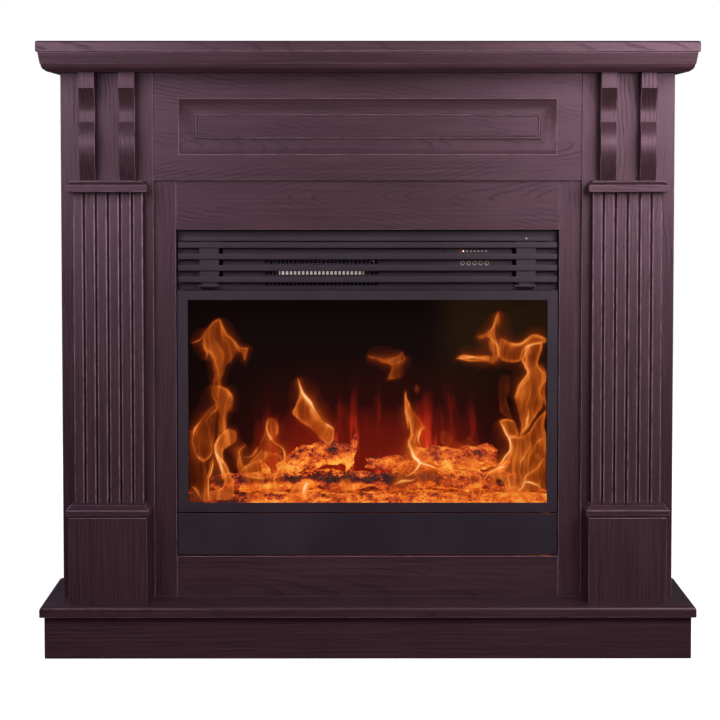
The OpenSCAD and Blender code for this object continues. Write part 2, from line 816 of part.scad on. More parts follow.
// A rod with sets of bright paddles that throw moving light on the screen
module flicker_rod() {
    x0 = -casing_half + sheet_t + flicker_motor_len;
    x1 = casing_half + 2;
    spread = 520;
    pitch = spread / paddle_sets;
    color([0.80, 0.81, 0.83]) {
        bar_x(x0 - 12, x1, rod_d, rod_z, rod_r);
        for (i = [0:paddle_sets - 1]) let (x = (i - (paddle_sets - 1) / 2) * pitch)
            for (turn = [0, 90]) translate([x, at(rod_d), rod_z]) rotate([turn + 30 * i, 0, 0])
                translate([-pitch * 0.3, -paddle_r, -0.4]) cube([pitch * 0.6, 2 * paddle_r, 0.8]);
    }
}

module flicker_motor() {
    x0 = -casing_half + sheet_t;
    bare_steel() difference() {
        bar_x(x0, x0 + flicker_motor_len, rod_d, rod_z, flicker_motor_r);
        bar_x(x0 + 6, x0 + flicker_motor_len + 1, rod_d, rod_z, rod_r + running_gap);
    }
}

// A strip of light sources on two feet, under the ember bed
module light_board() {
    half = 255;
    sources = 24;
    z = z_open + 20;
    color([0.92, 0.92, 0.88]) {
        slab(-half, half, 170, 196, z, z + 1.6);
        for (i = [0:sources - 1]) let (x = (i - (sources - 1) / 2) * 2 * half / sources)
            slab(x - 2.5, x + 2.5, 180, 185, z + 1, z + 3.2);
        for (x = [-half + 12, half - 12]) slab(x - 4, x + 4, 175, 191, z_open + sheet_t, z + 1);
    }
}

// A tray of imitation embers with a sloping front, on two legs
module ember_bed() {
    half = casing_half - sheet_t - 0.5;
    z_lip = z_glass_frame + 12;
    color([0.45, 0.16, 0.06]) {
        run_x(-half, half) polygon([[bed_front_d, z_lip - 4], [bed_back_d, z_lip - 4], [bed_back_d, z_bed],
            [bed_front_d + 12, z_bed], [bed_front_d, z_lip]]);
        for (side = [-1, 1]) let (x = side * (half - 6))
            slab(x - 6, x + 6, bed_front_d + 20, bed_front_d + 50, z_open + sheet_t, z_lip - 3);
    }
}

// Two rows of logs lie on the bed, and three more lie in the valley between the rows.
// Each log: [x of its middle, length, radius]
front_logs = [[-178, 150, 19.5], [2, 170, 19], [180, 150, 19.5]];
back_logs = [[-95, 180, 19.5], [110, 190, 19.5]];
top_logs = [[-84, 128, 26], [30, 66, 15], [140, 142, 24]];
front_row_d = 148;
row_gap = 41;
row_r = 19.5;

module log_lying(place, depth, z) {
    bar_x(place[0] - place[1] / 2, place[0] + place[1] / 2, depth, z, place[2]);
}

module log_set() {
    color([0.20, 0.09, 0.05]) {
        for (p = front_logs) log_lying(p, front_row_d, z_bed + p[2]);
        for (p = back_logs) log_lying(p, front_row_d + row_gap, z_bed + p[2]);
        for (p = top_logs) let (reach = p[2] + row_r + 0.3, rise = sqrt(reach * reach - row_gap * row_gap / 4))
            log_lying(p, front_row_d + row_gap / 2, z_bed + row_r + rise);
    }
}

// ---- Cord inlet ----

module cord_gland() {
    back = casing_back_d + sheet_t;
    black_plastic() difference() {
        union() {
            bar_y(gland_x, casing_back_d - 6, back + 1, gland_z, gland_body_r);
            bar_y(gland_x, back, back + 4, gland_z, 12);
            translate([gland_x, at(back + 12), gland_z]) rotate([90, 0, 0])
                cylinder(h = 8.5, r = 9.5, $fn = 6);
        }
        bar_y(gland_x, casing_back_d - 7, back + 13, gland_z, gland_bore_r);
    }
}

mantel_shelf();
cornice_board();
frieze_board();
pilaster_board(-1);  // pilaster_board_left
pilaster_board(1);  // pilaster_board_right
corbel(-1, 1);  // corbel_left_outer
corbel(-1, -1);  // corbel_left_inner
corbel(1, -1);  // corbel_right_inner
corbel(1, 1);  // corbel_right_outer
pilaster_cap(-1);  // pilaster_cap_left
pilaster_cap(1);  // pilaster_cap_right
fluted_panel(-1);  // fluted_panel_left
fluted_panel(1);  // fluted_panel_right
base_moulding(-1);  // base_moulding_left
base_moulding(1);  // base_moulding_right
plinth_block(-1);  // plinth_block_left
plinth_block(1);  // plinth_block_right
stile(-1);  // stile_left
stile(1);  // stile_right
top_rail();
bottom_rail();
side_panel(-1);  // side_panel_left
side_panel(1);  // side_panel_right
hearth_board();
plinth_front();
plinth_side(-1);  // plinth_left
plinth_side(1);  // plinth_right
back_battens();
insert_shelf();
firebox_casing();
back_cover();
fascia_panel();
outlet_grille();
louvre_blades();
louvre_straps();
hinge_brackets();
hinge_pins();
glass_frame();
glass_pane();
lower_trim();
control_panel();
control_board();
button(1);  // button_1
button(2);  // button_2
button(3);  // button_3
button(4);  // button_4
button(5);  // button_5
indicator_lights();
heater_element();
blower_housing();
blower_wheel();
blower_motor();
flame_screen();
flicker_rod();
flicker_motor();
light_board();
ember_bed();
log_set();
cord_gland();
cover_screws();
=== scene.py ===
"""The looks of an electric fireplace: a stained oak mantel surround round a steel fire insert.

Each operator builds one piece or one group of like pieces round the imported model.
Lengths are in metres unless a name ends in _mm. X runs to the right, -Y is the front, Z is up.
"""

import json
import math
import random

import bmesh
import bpy
import numpy as np
from mathutils import Matrix, Vector, noise


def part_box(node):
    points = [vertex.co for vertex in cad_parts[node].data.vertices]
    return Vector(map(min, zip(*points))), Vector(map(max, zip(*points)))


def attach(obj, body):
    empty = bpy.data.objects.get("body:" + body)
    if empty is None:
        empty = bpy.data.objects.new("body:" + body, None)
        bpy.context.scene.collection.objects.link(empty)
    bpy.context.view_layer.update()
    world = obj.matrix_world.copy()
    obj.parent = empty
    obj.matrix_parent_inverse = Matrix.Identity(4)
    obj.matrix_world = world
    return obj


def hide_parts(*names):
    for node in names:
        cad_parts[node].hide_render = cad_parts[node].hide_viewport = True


bl_info = {
    "name": "Electric Fireplace",
    "version": (1, 0, 0),
    "blender": (4, 5, 0),
    "location": "View3D > Sidebar > Fireplace",
    "description": "Builds the boards, metalwork, controls, logs and flames of an electric fireplace",
    "category": "Object",
}

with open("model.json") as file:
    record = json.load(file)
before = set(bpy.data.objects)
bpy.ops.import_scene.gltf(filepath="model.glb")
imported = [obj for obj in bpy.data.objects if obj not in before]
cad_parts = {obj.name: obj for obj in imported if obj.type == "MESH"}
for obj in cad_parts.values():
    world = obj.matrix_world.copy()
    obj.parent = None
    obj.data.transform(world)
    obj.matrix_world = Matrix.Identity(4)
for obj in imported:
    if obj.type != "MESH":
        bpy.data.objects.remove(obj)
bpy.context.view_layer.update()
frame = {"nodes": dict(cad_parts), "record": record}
RECORD = frame["record"]
SLOT_OF = {part["node"]: part["material_slot"] for part in RECORD["subparts"]}
BODY_OF = {node: body for body, nodes in RECORD["behaviour"]["bodies"].items() for node in nodes}
MM = 0.001
MERGE = 0.00002


# ---- Settings ----

def colour_property(label, about, value):
    """A colour that the user may change."""
    return bpy.props.FloatVectorProperty(
        name=label, description=about, subtype="COLOR", size=3, min=0.0, max=1.0, default=value)


def length_property(label, about, value, low, high):
    """A length in metres that the user may change."""
    return bpy.props.FloatProperty(
        name=label, description=about, subtype="DISTANCE", unit="LENGTH",
        default=value, min=low, max=high, precision=4)


def share_property(label, about, value, high=1.0):
    """A plain factor that the user may change."""
    return bpy.props.FloatProperty(
        name=label, description=about, subtype="FACTOR", default=value, min=0.0, max=high)


class WoodSettings(bpy.types.PropertyGroup):
    """Colours and sizes of the stained boards"""

    stain: colour_property("Stain", "Colour of the oak between its dark lines", (0.052, 0.025, 0.030))
    late_wood: colour_property("Late wood", "Colour of the dark yearly lines", (0.010, 0.004, 0.005))
    # The rubbed edge colour lightens each eased edge: partly rubbed stain, partly a painted highlight along
    # the edge.
    rubbed_and_highlit: colour_property("Rubbed edge", "Colour where the stain is thin on an edge", (0.52, 0.36, 0.42))
    ring_width: length_property("Ring width", "Distance between two yearly rings", 0.0066, 0.002, 0.02)
    edge_width: length_property("Edge width", "Width of a board's eased edge", 0.0012, 0.0002, 0.003)
    moulding_edge: length_property("Moulding edge", "Width of a moulding's eased edge", 0.0006, 0.0002, 0.002)
    roughness: share_property("Lacquer roughness", "Roughness of the satin lacquer", 0.40)


class MetalSettings(bpy.types.PropertyGroup):
    """Colours and sizes of the metal and plastic"""

    powder_coat: colour_property("Powder coat", "Colour of the painted steel", (0.026, 0.0165, 0.025))
    bright_steel: colour_property("Bright steel", "Colour of pins, screws and motor cans", (0.42, 0.42, 0.43))
    plastic: colour_property("Plastic", "Colour of the controls", (0.016, 0.014, 0.018))
    marking: colour_property("Marking", "Colour of the rings printed on the buttons", (0.40, 0.32, 0.24))
    fold_radius: length_property("Fold radius", "Radius of a fold in the sheet steel", 0.0007, 0.0002, 0.002)


class FireSettings(bpy.types.PropertyGroup):
    """Colours and sizes of the flames, logs and embers"""

    flame_pitch: length_property("Flame pitch", "Size of one cell of the flame sheet", 0.00130, 0.001, 0.01)
    flame_strength: share_property("Flame light", "Brightness of the flames", 1.25, 8.0)
    ember_strength: share_property("Ember light", "Brightness of the logs and embers", 1.10, 8.0)
    screen_strength: share_property("Screen light", "Brightness of the glow on the screen", 1.2, 8.0)
    char: colour_property("Char", "Colour of the burnt bark", (0.030, 0.012, 0.008))


class StageSettings(bpy.types.PropertyGroup):
    """The floor and the lights, which aren't part of the object"""

    floor: colour_property("Floor", "Colour of the floor", (0.93, 0.93, 0.93))
    floor_size: length_property("Floor size", "Side of the square floor", 14.0, 4.0, 40.0)
    left_power: bpy.props.FloatProperty(
        name="Left light", description="Power of the left light", unit="POWER", default=7.0, min=0.0)
    right_power: bpy.props.FloatProperty(
        name="Right light", description="Power of the right light", unit="POWER", default=12.0, min=0.0)
    fill_power: bpy.props.FloatProperty(
        name="Fill light", description="Power of the front light", unit="POWER", default=12.0, min=0.0)


# ---- Node graphs ----

class Value:
    """One output socket of a node graph. Sums on it add Math nodes to the same graph."""

    def __init__(self, graph, socket):
        self.graph = graph
        self.socket = socket

    def __add__(self, other):
        return self.graph.math("ADD", self, other)

    def __sub__(self, other):
        return self.graph.math("SUBTRACT", self, other)

    def __rsub__(self, other):
        return self.graph.math("SUBTRACT", other, self)

    def __mul__(self, other):
        return self.graph.math("MULTIPLY", self, other)

    def __truediv__(self, other):
        return self.graph.math("DIVIDE", self, other)

    def __pow__(self, other):
        return self.graph.math("POWER", self, other)

    __radd__ = __add__
    __rmul__ = __mul__

    def of(self, name):
        """Another output of the same node."""
        return Value(self.graph, self.socket.node.outputs[name])

    def parts(self):
        """The three components of a vector."""
        split = self.graph.add("ShaderNodeSeparateXYZ", None, {0: self})
        return split.of("X"), split.of("Y"), split.of("Z")

    def step(self, low, high):
        """0 below low, 1 above high, and smooth between them."""
        return self.graph.add("ShaderNodeMapRange", {"interpolation_type": "SMOOTHSTEP"},
                              {"Value": self, "From Min": low, "From Max": high})


class Graph:
    """Writes the nodes of one tree."""

    def __init__(self, tree):
        self.tree = tree
        tree.nodes.clear()

    def feed(self, socket, value):
        """Links or sets one input socket. A list links each of its members."""
        if isinstance(value, Value):
            self.tree.links.new(value.socket, socket)
        elif isinstance(value, list):
            for member in value:
                self.feed(socket, member)
        elif socket.type == "RGBA" and len(value) == 3:
            socket.default_value = (*value, 1.0)
        else:
            socket.default_value = value

    def add(self, kind, settings=None, sockets=None, out=0):
        """Makes a node: first its settings, then the values or links of its sockets."""
        node = self.tree.nodes.new(kind)
        for name, value in (settings or {}).items():
            if name == "stops":
                set_ramp(node.color_ramp, value)
            else:
                setattr(node, name, value)
        for name, value in (sockets or {}).items():
            self.feed(node.inputs[name], value)
        return Value(self, node.outputs[out]) if len(node.outputs) > 0 else None

    def math(self, operation, *values):
        """A Math node on one, two or three values."""
        return self.add("ShaderNodeMath", {"operation": operation}, dict(enumerate(values)))

    def stretched(self, vector, factors):
        """A vector times one factor along each axis."""
        return self.add("ShaderNodeVectorMath", {"operation": "MULTIPLY"}, {0: vector, 1: factors})

    def noise(self, vector, scale=1.0, detail=2.0, roughness=0.5):
        """Smooth noise from about 0.2 to 0.8."""
        return self.add("ShaderNodeTexNoise", None,
                        {"Vector": vector, "Scale": scale, "Detail": detail, "Roughness": roughness})

    def mix(self, factor, first, second):
        """One colour or another."""
        return self.add("ShaderNodeMix", {"data_type": "RGBA"}, {0: factor, 6: first, 7: second}, out=2)

    def ramp(self, value, *stops):
        """A colour ramp of (place, colour) stops."""
        return self.add("ShaderNodeValToRGB", {"stops": stops}, {0: value})

    def bump(self, height, strength, distance):
        """A normal from a height."""
        return self.add("ShaderNodeBump", None,
                        {"Height": height, "Strength": strength, "Distance": distance})

    def attribute(self, name, out="Fac"):
        """A value stored on the mesh, 0 where the mesh has none."""
        return self.add("ShaderNodeAttribute", {"attribute_name": name}, None, out)


def shaded(colour, factor):
    """A colour made darker or lighter."""
    return tuple(part * factor for part in colour)


def set_ramp(ramp, stops):
    """Puts the stops on a colour ramp, in order."""
    while len(ramp.elements) > 1:
        ramp.elements.remove(ramp.elements[-1])
    for number, (place, colour) in enumerate(stops):
        element = ramp.elements.new(place) if number else ramp.elements[0]
        element.position = place
        element.color = (*colour, 1.0)


def new_material(name):
    """An empty material and the graph that fills it."""
    material = bpy.data.materials.new("finish_" + name)
    material.use_nodes = True
    return material, Graph(material.node_tree)


def close_surface(graph, sockets):
    """The main shader and the output of a material."""
    shader = graph.add("ShaderNodeBsdfPrincipled", None, sockets)
    graph.add("ShaderNodeOutputMaterial", None, {"Surface": shader})


def object_place(graph):
    """Where a point lies in the part's own frame."""
    return graph.add("ShaderNodeTexCoord", None, None, "Object")


# ---- Finishes ----

def dark_oak(name):
    """Stained oak under satin lacquer. It reads the grain, rise and arris that each board carries."""
    wood = bpy.context.scene.fireplace_wood
    material, g = new_material(name)
    grain = g.attribute("grain", "Vector")
    drift = g.noise(g.stretched(grain, (6.0, 14.0, 14.0)), detail=2.0) - 0.5
    ripple = g.noise(g.stretched(grain, (50.0, 60.0, 60.0)), detail=2.0, roughness=0.6) - 0.5
    _, across, depth = grain.parts()
    off_axis = across + drift * 0.022
    under_axis = depth + drift * 0.012
    radius = (off_axis * off_axis + under_axis * under_axis) ** 0.5 + g.attribute("rise") + ripple * 0.0042
    ring = g.math("FRACT", radius / wood.ring_width)
    fading = g.noise(g.stretched(grain, (11.0, 34.0, 34.0)), detail=2.0).step(0.40, 0.62)
    late = ring.step(0.60, 0.92) * (1.0 - ring.step(0.93, 1.0)) * fading
    streak = g.noise(g.stretched(grain, (6.0, 260.0, 260.0)), detail=3.0, roughness=0.6)
    cloud = g.noise(g.stretched(grain, (5.0, 9.0, 9.0)), detail=1.0)
    pore = g.noise(g.stretched(grain, (90.0, 1100.0, 1100.0)), detail=1.0).step(0.60, 0.70)
    pore_mark = pore * (0.30 + 0.70 * late)
    tone = g.mix(streak.step(0.30, 0.72), shaded(wood.stain, 0.74), shaded(wood.stain, 1.24))
    tone = g.mix(cloud.step(0.35, 0.70) * 0.35, tone, shaded(wood.stain, 0.62))
    tone = g.mix(late * 0.72, tone, wood.late_wood)
    tone = g.mix(pore_mark * 0.75, tone, wood.late_wood)
    patchy = g.noise(g.stretched(grain, (60.0, 260.0, 260.0)), detail=3.0, roughness=0.65).step(0.33, 0.62)
    # The arris lines are lightened towards the rubbed edge colour: rubbed stain and a painted highlight along
    # each eased edge.
    arris = g.attribute("arris") * (0.35 + 0.65 * patchy)
    tone = g.mix(arris * 0.6, tone, wood.rubbed_and_highlit)
    roughness = wood.roughness + 0.16 * (streak - 0.5) + 0.14 * late - 0.06 * arris
    height = 0.35 * streak - 0.45 * late - 0.75 * pore_mark
    close_surface(g, {
        "Base Color": tone, "Roughness": roughness, "Normal": g.bump(height, 0.45, 0.0004),
        "Specular IOR Level": 0.62, "Specular Tint": (1.0, 0.66, 0.82)})
    return material


def raw_board(name):
    """Plain pressed board: short chips of two tones."""
    material, g = new_material(name)
    place = object_place(g)
    chips = g.noise(g.stretched(place, (120.0, 260.0, 260.0)), detail=3.0, roughness=0.6)
    fine = g.noise(place, scale=900.0, detail=1.0)
    tone = g.ramp(chips * 0.7 + fine * 0.3, (0.30, (0.24, 0.16, 0.09)), (0.50, (0.42, 0.31, 0.20)),
                  (0.72, (0.58, 0.46, 0.31)))
    close_surface(g, {"Base Color": tone, "Roughness": 0.72 + 0.15 * (chips - 0.5),
                      "Normal": g.bump(chips, 0.5, 0.0004)})
    return material


def black_steel(name):
    """Satin powder coat with a fine orange peel, and a painted highlight along the folds."""
    metal = bpy.context.scene.fireplace_metal
    material, g = new_material(name)
    place = object_place(g)
    peel = g.noise(place, scale=620.0, detail=2.0, roughness=0.45)
    cloud = g.noise(place, scale=7.0, detail=2.0)
    tone = g.mix(cloud.step(0.35, 0.68), shaded(metal.powder_coat, 0.86),
                 shaded(metal.powder_coat, 1.16))
    # The arris of each fold is painted lighter: a painted highlight along the fold.
    arris = g.attribute("arris") * (0.6 + 0.4 * g.noise(place, scale=160.0).step(0.35, 0.6))
    tone = g.mix(arris * 0.55, tone, shaded(metal.powder_coat, 4.0))
    close_surface(g, {"Base Color": tone, "Roughness": 0.46 + 0.16 * (cloud - 0.5) + 0.10 * (peel - 0.5),
                      "Normal": g.bump(peel, 0.30, 0.0002), "Specular IOR Level": 0.5})
    return material


def bare_metal(name, colour, roughness, lines=(40.0, 1400.0, 1400.0)):
    """Bright metal with drawn lines along X."""
    material, g = new_material(name)
    place = object_place(g)
    drawn = g.noise(g.stretched(place, lines), detail=3.0, roughness=0.6)
    blotch = g.noise(place, scale=55.0, detail=2.0)
    tone = g.mix(blotch.step(0.35, 0.7), shaded(colour, 0.78), colour)
    close_surface(g, {"Base Color": tone, "Metallic": 1.0,
                      "Roughness": roughness + 0.16 * (drawn - 0.5) + 0.10 * (blotch - 0.5),
                      "Normal": g.bump(drawn, 0.25, 0.0001)})
    return material


def bare_steel(name):
    """Zinc plated pins and screws."""
    return bare_metal(name, bpy.context.scene.fireplace_metal.bright_steel, 0.34)


def fan_aluminium(name):
    """Pressed sheet of the blower wheel."""
    return bare_metal(name, (0.60, 0.61, 0.63), 0.40)


def paddle_metal(name):
    """Bright foil paddles of the flicker rod."""
    return bare_metal(name, (0.82, 0.82, 0.84), 0.14, (300.0, 300.0, 300.0))


def motor_steel(name):
    """Plated motor cans."""
    return bare_metal(name, (0.46, 0.46, 0.48), 0.38, (60.0, 700.0, 700.0))


def smoked_glass(name):
    """Clear toughened glass: what lies behind shows through, and more reflects at a slant."""
    material, g = new_material(name)
    smears = g.noise(object_place(g), scale=9.0, detail=3.0, roughness=0.6)
    clear = g.add("ShaderNodeBsdfTransparent", None, {"Color": (0.93, 0.90, 0.89, 1.0)})
    gloss = g.add("ShaderNodeBsdfGlossy", None, {"Color": (1.0, 1.0, 1.0, 1.0),
                                                 "Roughness": 0.02 + 0.05 * smears.step(0.45, 0.75)})
    edge_on = g.add("ShaderNodeFresnel", None, {"IOR": 1.27})
    both = g.add("ShaderNodeMixShader", None, {0: edge_on, 1: clear, 2: gloss})
    g.add("ShaderNodeOutputMaterial", None, {"Surface": both})
    return material


def black_plastic(name):
    """Finely textured moulding, printed where the mesh is marked, with the first light's red halo."""
    metal = bpy.context.scene.fireplace_metal
    material, g = new_material(name)
    place = object_place(g)
    grit = g.noise(place, scale=1500.0, detail=2.0)
    cloud = g.noise(place, scale=60.0, detail=2.0)
    tone = g.mix(cloud.step(0.3, 0.7), shaded(metal.plastic, 0.8), shaded(metal.plastic, 1.5))
    tone = g.mix(g.attribute("mark"), tone, metal.marking)
    low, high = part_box("indicator_lights")
    from_light = g.add("ShaderNodeVectorMath", {"operation": "DISTANCE"},
                       {0: place, 1: (low.x - 3 * MM, low.y, (low.z + high.z) / 2)}, "Value")
    halo = g.mix(1.0 - from_light.step(1 * MM, 6 * MM), (0.0, 0.0, 0.0), (0.045, 0.003, 0.004))
    close_surface(g, {"Base Color": tone, "Roughness": 0.42 + 0.22 * (grit - 0.5),
                      "Normal": g.bump(grit, 0.35, 0.0001), "Emission Color": halo, "Emission Strength": 1.0})
    return material


def circuit_board(name):
    """Green solder mask over paler copper tracks."""
    material, g = new_material(name)
    place = object_place(g)
    cells = g.add("ShaderNodeTexVoronoi", {"feature": "DISTANCE_TO_EDGE", "distance": "MANHATTAN"},
                  {"Vector": place, "Scale": 260.0})
    tracks = 1.0 - cells.step(0.03, 0.08)
    tone = g.mix(tracks, (0.012, 0.085, 0.032, 1.0), (0.05, 0.24, 0.10, 1.0))
    close_surface(g, {"Base Color": tone, "Roughness": 0.30 + 0.25 * g.noise(place, scale=120.0),
                      "Normal": g.bump(tracks, 0.4, 0.0001), "Coat Weight": 0.4})
    return material


def white_board(name):
    """White light strip, a little yellowed."""
    material, g = new_material(name)
    place = object_place(g)
    cloud = g.noise(place, scale=40.0, detail=3.0)
    tone = g.mix(cloud.step(0.35, 0.7), (0.78, 0.77, 0.71, 1.0), (0.66, 0.62, 0.52, 1.0))
    close_surface(g, {"Base Color": tone, "Roughness": 0.35 + 0.2 * cloud,
                      "Normal": g.bump(g.noise(place, scale=700.0), 0.2, 0.0001)})
    return material


def indicator_red(name):
    """Clear light pipes. The first, at the left, is lit, and the rest glow faintly."""
    material, g = new_material(name)
    place = object_place(g)
    low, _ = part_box("indicator_lights")
    across, _, _ = place.parts()
    lit = 1.0 - across.step(low.x + 3 * MM, low.x + 4 * MM)
    cloud = g.noise(place, scale=900.0, detail=1.0)
    tone = g.mix(lit, (0.52, 0.38, 0.33), (1.0, 0.62, 0.50))
    glow = g.mix(lit, (0.10, 0.060, 0.050), (1.0, 0.50, 0.38))
    close_surface(g, {"Base Color": tone, "Roughness": 0.2 + 0.1 * cloud, "Emission Color": glow,
                      "Emission Strength": 2.2, "Coat Weight": 0.5})
    return material


def heater_ceramic(name):
    """Matt fired ceramic with faint heat stains, brightened by a painted glow in its own colours."""
    material, g = new_material(name)
    place = object_place(g)
    stain = g.noise(place, scale=45.0, detail=3.0)
    tone = g.mix(stain.step(0.40, 0.75), (0.86, 0.82, 0.77, 1.0), (0.62, 0.52, 0.42, 1.0))
    # The ceramic's own colours are also sent out as light: a painted glow that brightens it.
    close_surface(g, {"Base Color": tone, "Roughness": 0.68 + 0.2 * (stain - 0.5), "Emission Color": tone,
                      "Emission Strength": 0.35, "Normal": g.bump(g.noise(place, scale=900.0), 0.4, 0.0002)})
    return material


HOT_STOPS = ((0.10, (0.004, 0.0015, 0.001)), (0.28, (0.045, 0.0035, 0.0015)), (0.42, (0.30, 0.022, 0.004)),
             (0.56, (0.72, 0.105, 0.010)), (0.72, (1.0, 0.27, 0.022)), (0.88, (1.0, 0.52, 0.075)))


def glowing_char(name, scale, height_bias):
    """Charred resin lit from inside: hot patches, dark crust and bright cracks."""
    fire = bpy.context.scene.fireplace_fire
    material, g = new_material(name)
    material.cycles.emission_sampling = "NONE"
    place = object_place(g)
    wide = g.noise(g.stretched(place, (0.8 * scale, scale, scale)), detail=2.0)
    middle = g.noise(g.stretched(place, (2.2 * scale, 3.2 * scale, 3.2 * scale)), detail=3.0, roughness=0.6)
    fine = g.noise(place, scale=scale * 9.0, detail=3.0, roughness=0.65)
    cracks = g.add("ShaderNodeTexVoronoi", {"feature": "DISTANCE_TO_EDGE"},
                   {"Vector": g.stretched(place, (1.0, 1.5, 1.5)), "Scale": scale * 3.6})
    seam = 1.0 - cracks.step(0.0, 0.09)
    spread = 1.25 * (wide - 0.5) + 1.15 * (middle - 0.5) + 0.60 * (fine - 0.5)
    heat = 0.47 + spread + 0.10 * seam + height_bias(place, fine)
    hot = g.ramp(heat, *HOT_STOPS)
    crust = g.mix(fine.step(0.35, 0.65), fire.char, shaded(fire.char, 3.2))
    close_surface(g, {"Base Color": crust, "Roughness": 0.78 + 0.2 * (fine - 0.5), "Emission Color": hot,
                      "Emission Strength": fire.ember_strength,
                      "Normal": g.bump(fine - 0.5 * seam, 0.9, 0.0015)})
    return material


def log_bias(place, fine):
    """Dimmer in the gap between the two tiers of logs, and brighter just above it."""
    _, _, up = place.parts()
    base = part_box("log_set")[0].z
    uneven = up + (fine - 0.5) * 0.020
    gap = uneven.step(base + 17 * MM, base + 24 * MM) * (1.0 - uneven.step(base + 27 * MM, base + 34 * MM))
    shelf = uneven.step(base + 32 * MM, base + 42 * MM) * (1.0 - up.step(base + 48 * MM, base + 66 * MM))
    return 0.17 * shelf - 0.26 * gap


def ember_bias(place, _fine):
    """Hotter towards the front, and nearly out at the left end."""
    across, along, _ = place.parts()
    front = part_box("ember_bed")[0].y
    cold_end = 1.0 - across.step(-215 * MM, -170 * MM)
    return 0.10 - 0.14 * along.step(front + 12 * MM, front + 50 * MM) - 0.34 * cold_end


def charred_log(name):
    """Cast logs that glow from inside."""
    return glowing_char(name, 26.0, log_bias)


def ember_resin(name):
    """Cast embers that glow from below."""
    return glowing_char(name, 34.0, ember_bias)


def flame_screen(name):
    """Dark acrylic with soft red tongues of light that rise from behind the logs."""
    fire = bpy.context.scene.fireplace_fire
    material, g = new_material(name)
    place = object_place(g)
    low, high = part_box("flame_screen")
    across, _, up = place.parts()
    rise = (up - low.z) / (high.z - low.z)
    tongues = g.noise(g.stretched(place, (34.0, 1.0, 5.0)), detail=3.0, roughness=0.55)
    haze = g.noise(g.stretched(place, (7.0, 1.0, 5.0)), detail=2.0)
    middle = 1.0 - g.math("ABSOLUTE", across - 0.02).step(0.10, 0.27)
    fade = 1.0 - rise.step(0.10, 0.74)
    haze_heat = fade * (0.12 + 0.62 * middle) * (0.35 + 0.9 * haze)
    heat = haze_heat + fade * middle * tongues.step(0.46, 0.64) * 0.42
    glow = g.ramp(heat, (0.0, (0.0022, 0.0006, 0.0004)), (0.25, (0.020, 0.0012, 0.0006)),
                  (0.50, (0.170, 0.0070, 0.002)), (0.75, (0.52, 0.026, 0.006)), (1.0, (0.90, 0.085, 0.015)))
    brown = across.step(0.09, 0.16) * rise.step(0.35, 0.8) * haze.step(0.35, 0.6)
    glow = g.mix(brown * 0.8, glow, (0.016, 0.0075, 0.0014, 1.0))
    close_surface(g, {"Base Color": g.mix(haze, (0.0020, 0.0008, 0.0007, 1.0), (0.0036, 0.0012, 0.0009, 1.0)),
                      "Roughness": 0.45 + 0.2 * haze, "Emission Color": glow,
                      "Emission Strength": fire.screen_strength,
                      "Normal": g.bump(tongues, 0.05, 0.001), "Specular IOR Level": 0.05})
    return material


def flame_light(name):
    """The flames' own light. Colour and thickness come from the sheet's attribute."""
    fire = bpy.context.scene.fireplace_fire
    material, g = new_material(name)
    material.cycles.emission_sampling = "NONE"
    glow = g.attribute("glow", "Color")
    close_surface(g, {"Base Color": (0.0, 0.0, 0.0), "Roughness": 1.0, "Specular IOR Level": 0.0,
                      "Emission Color": glow, "Emission Strength": fire.flame_strength,
                      "Alpha": glow.of("Alpha")})
    return material


def pale_floor(name):
    """Pale seamless studio floor."""
    stage = bpy.context.scene.fireplace_stage
    material, g = new_material(name)
    cloud = g.noise(object_place(g), scale=1.3, detail=2.0)
    tone = g.mix(cloud, stage.floor, shaded(stage.floor, 0.985))
    close_surface(g, {"Base Color": tone, "Roughness": 0.75 + 0.1 * cloud, "Specular IOR Level": 0.1,
                      "Emission Color": (1.0, 1.0, 1.0), "Emission Strength": 1.0})
    return material


FINISHES = {make.__name__: make for make in (
    dark_oak, raw_board, black_steel, bare_steel, smoked_glass, black_plastic, circuit_board, white_board,
    indicator_red, heater_ceramic, fan_aluminium, paddle_metal, motor_steel, flame_screen, ember_resin,
    charred_log, flame_light, pale_floor)}


def finish_of(slot):
    """The material of a slot, made the first time that it is asked for."""
    return bpy.data.materials.get("finish_" + slot) or FINISHES[slot](slot)


# ---- Meshes ----

def points_of(mesh):
    """The mesh's vertices as an array."""
    places = np.zeros(len(mesh.vertices) * 3, np.float32)
    mesh.vertices.foreach_get("co", places)
    return places.reshape(-1, 3)


def write_attribute(mesh, name, kind, field, values):
    """Stores one value on each vertex."""
    attribute = mesh.attributes.get(name) or mesh.attributes.new(name, kind, "POINT")
    attribute.data.foreach_set(field, np.ascontiguousarray(values, np.float32).ravel())


def mesh_of(name, shape, smooth=True):
    """Writes a shape to a new mesh."""
    for face in shape.faces:
        face.smooth = smooth
    mesh = bpy.data.meshes.new(name)
    shape.to_mesh(mesh)
    shape.free()
    return mesh


def bridge(shape, first, second):
    """Joins two closed rows of vertices. Either may be a single point."""
    for i in range(max(len(first), len(second))):
        j = i + 1
        corners = [first[i % len(first)], first[j % len(first)],
                   second[j % len(second)], second[i % len(second)]]
        shape.faces.new(list(dict.fromkeys(corners)))


def merged_copy(node):
    """A CAD node with its loose triangles joined and its flat faces whole."""
    source = frame["nodes"][node].data
    shape = bmesh.new()
    corners = [shape.verts.new(vertex.co) for vertex in source.vertices]
    for face in source.polygons:
        shape.faces.new([corners[i] for i in face.vertices])
    bmesh.ops.remove_doubles(shape, verts=shape.verts, dist=MERGE)
    bmesh.ops.dissolve_limit(shape, angle_limit=math.radians(1.0), verts=shape.verts, edges=shape.edges)
    return shape


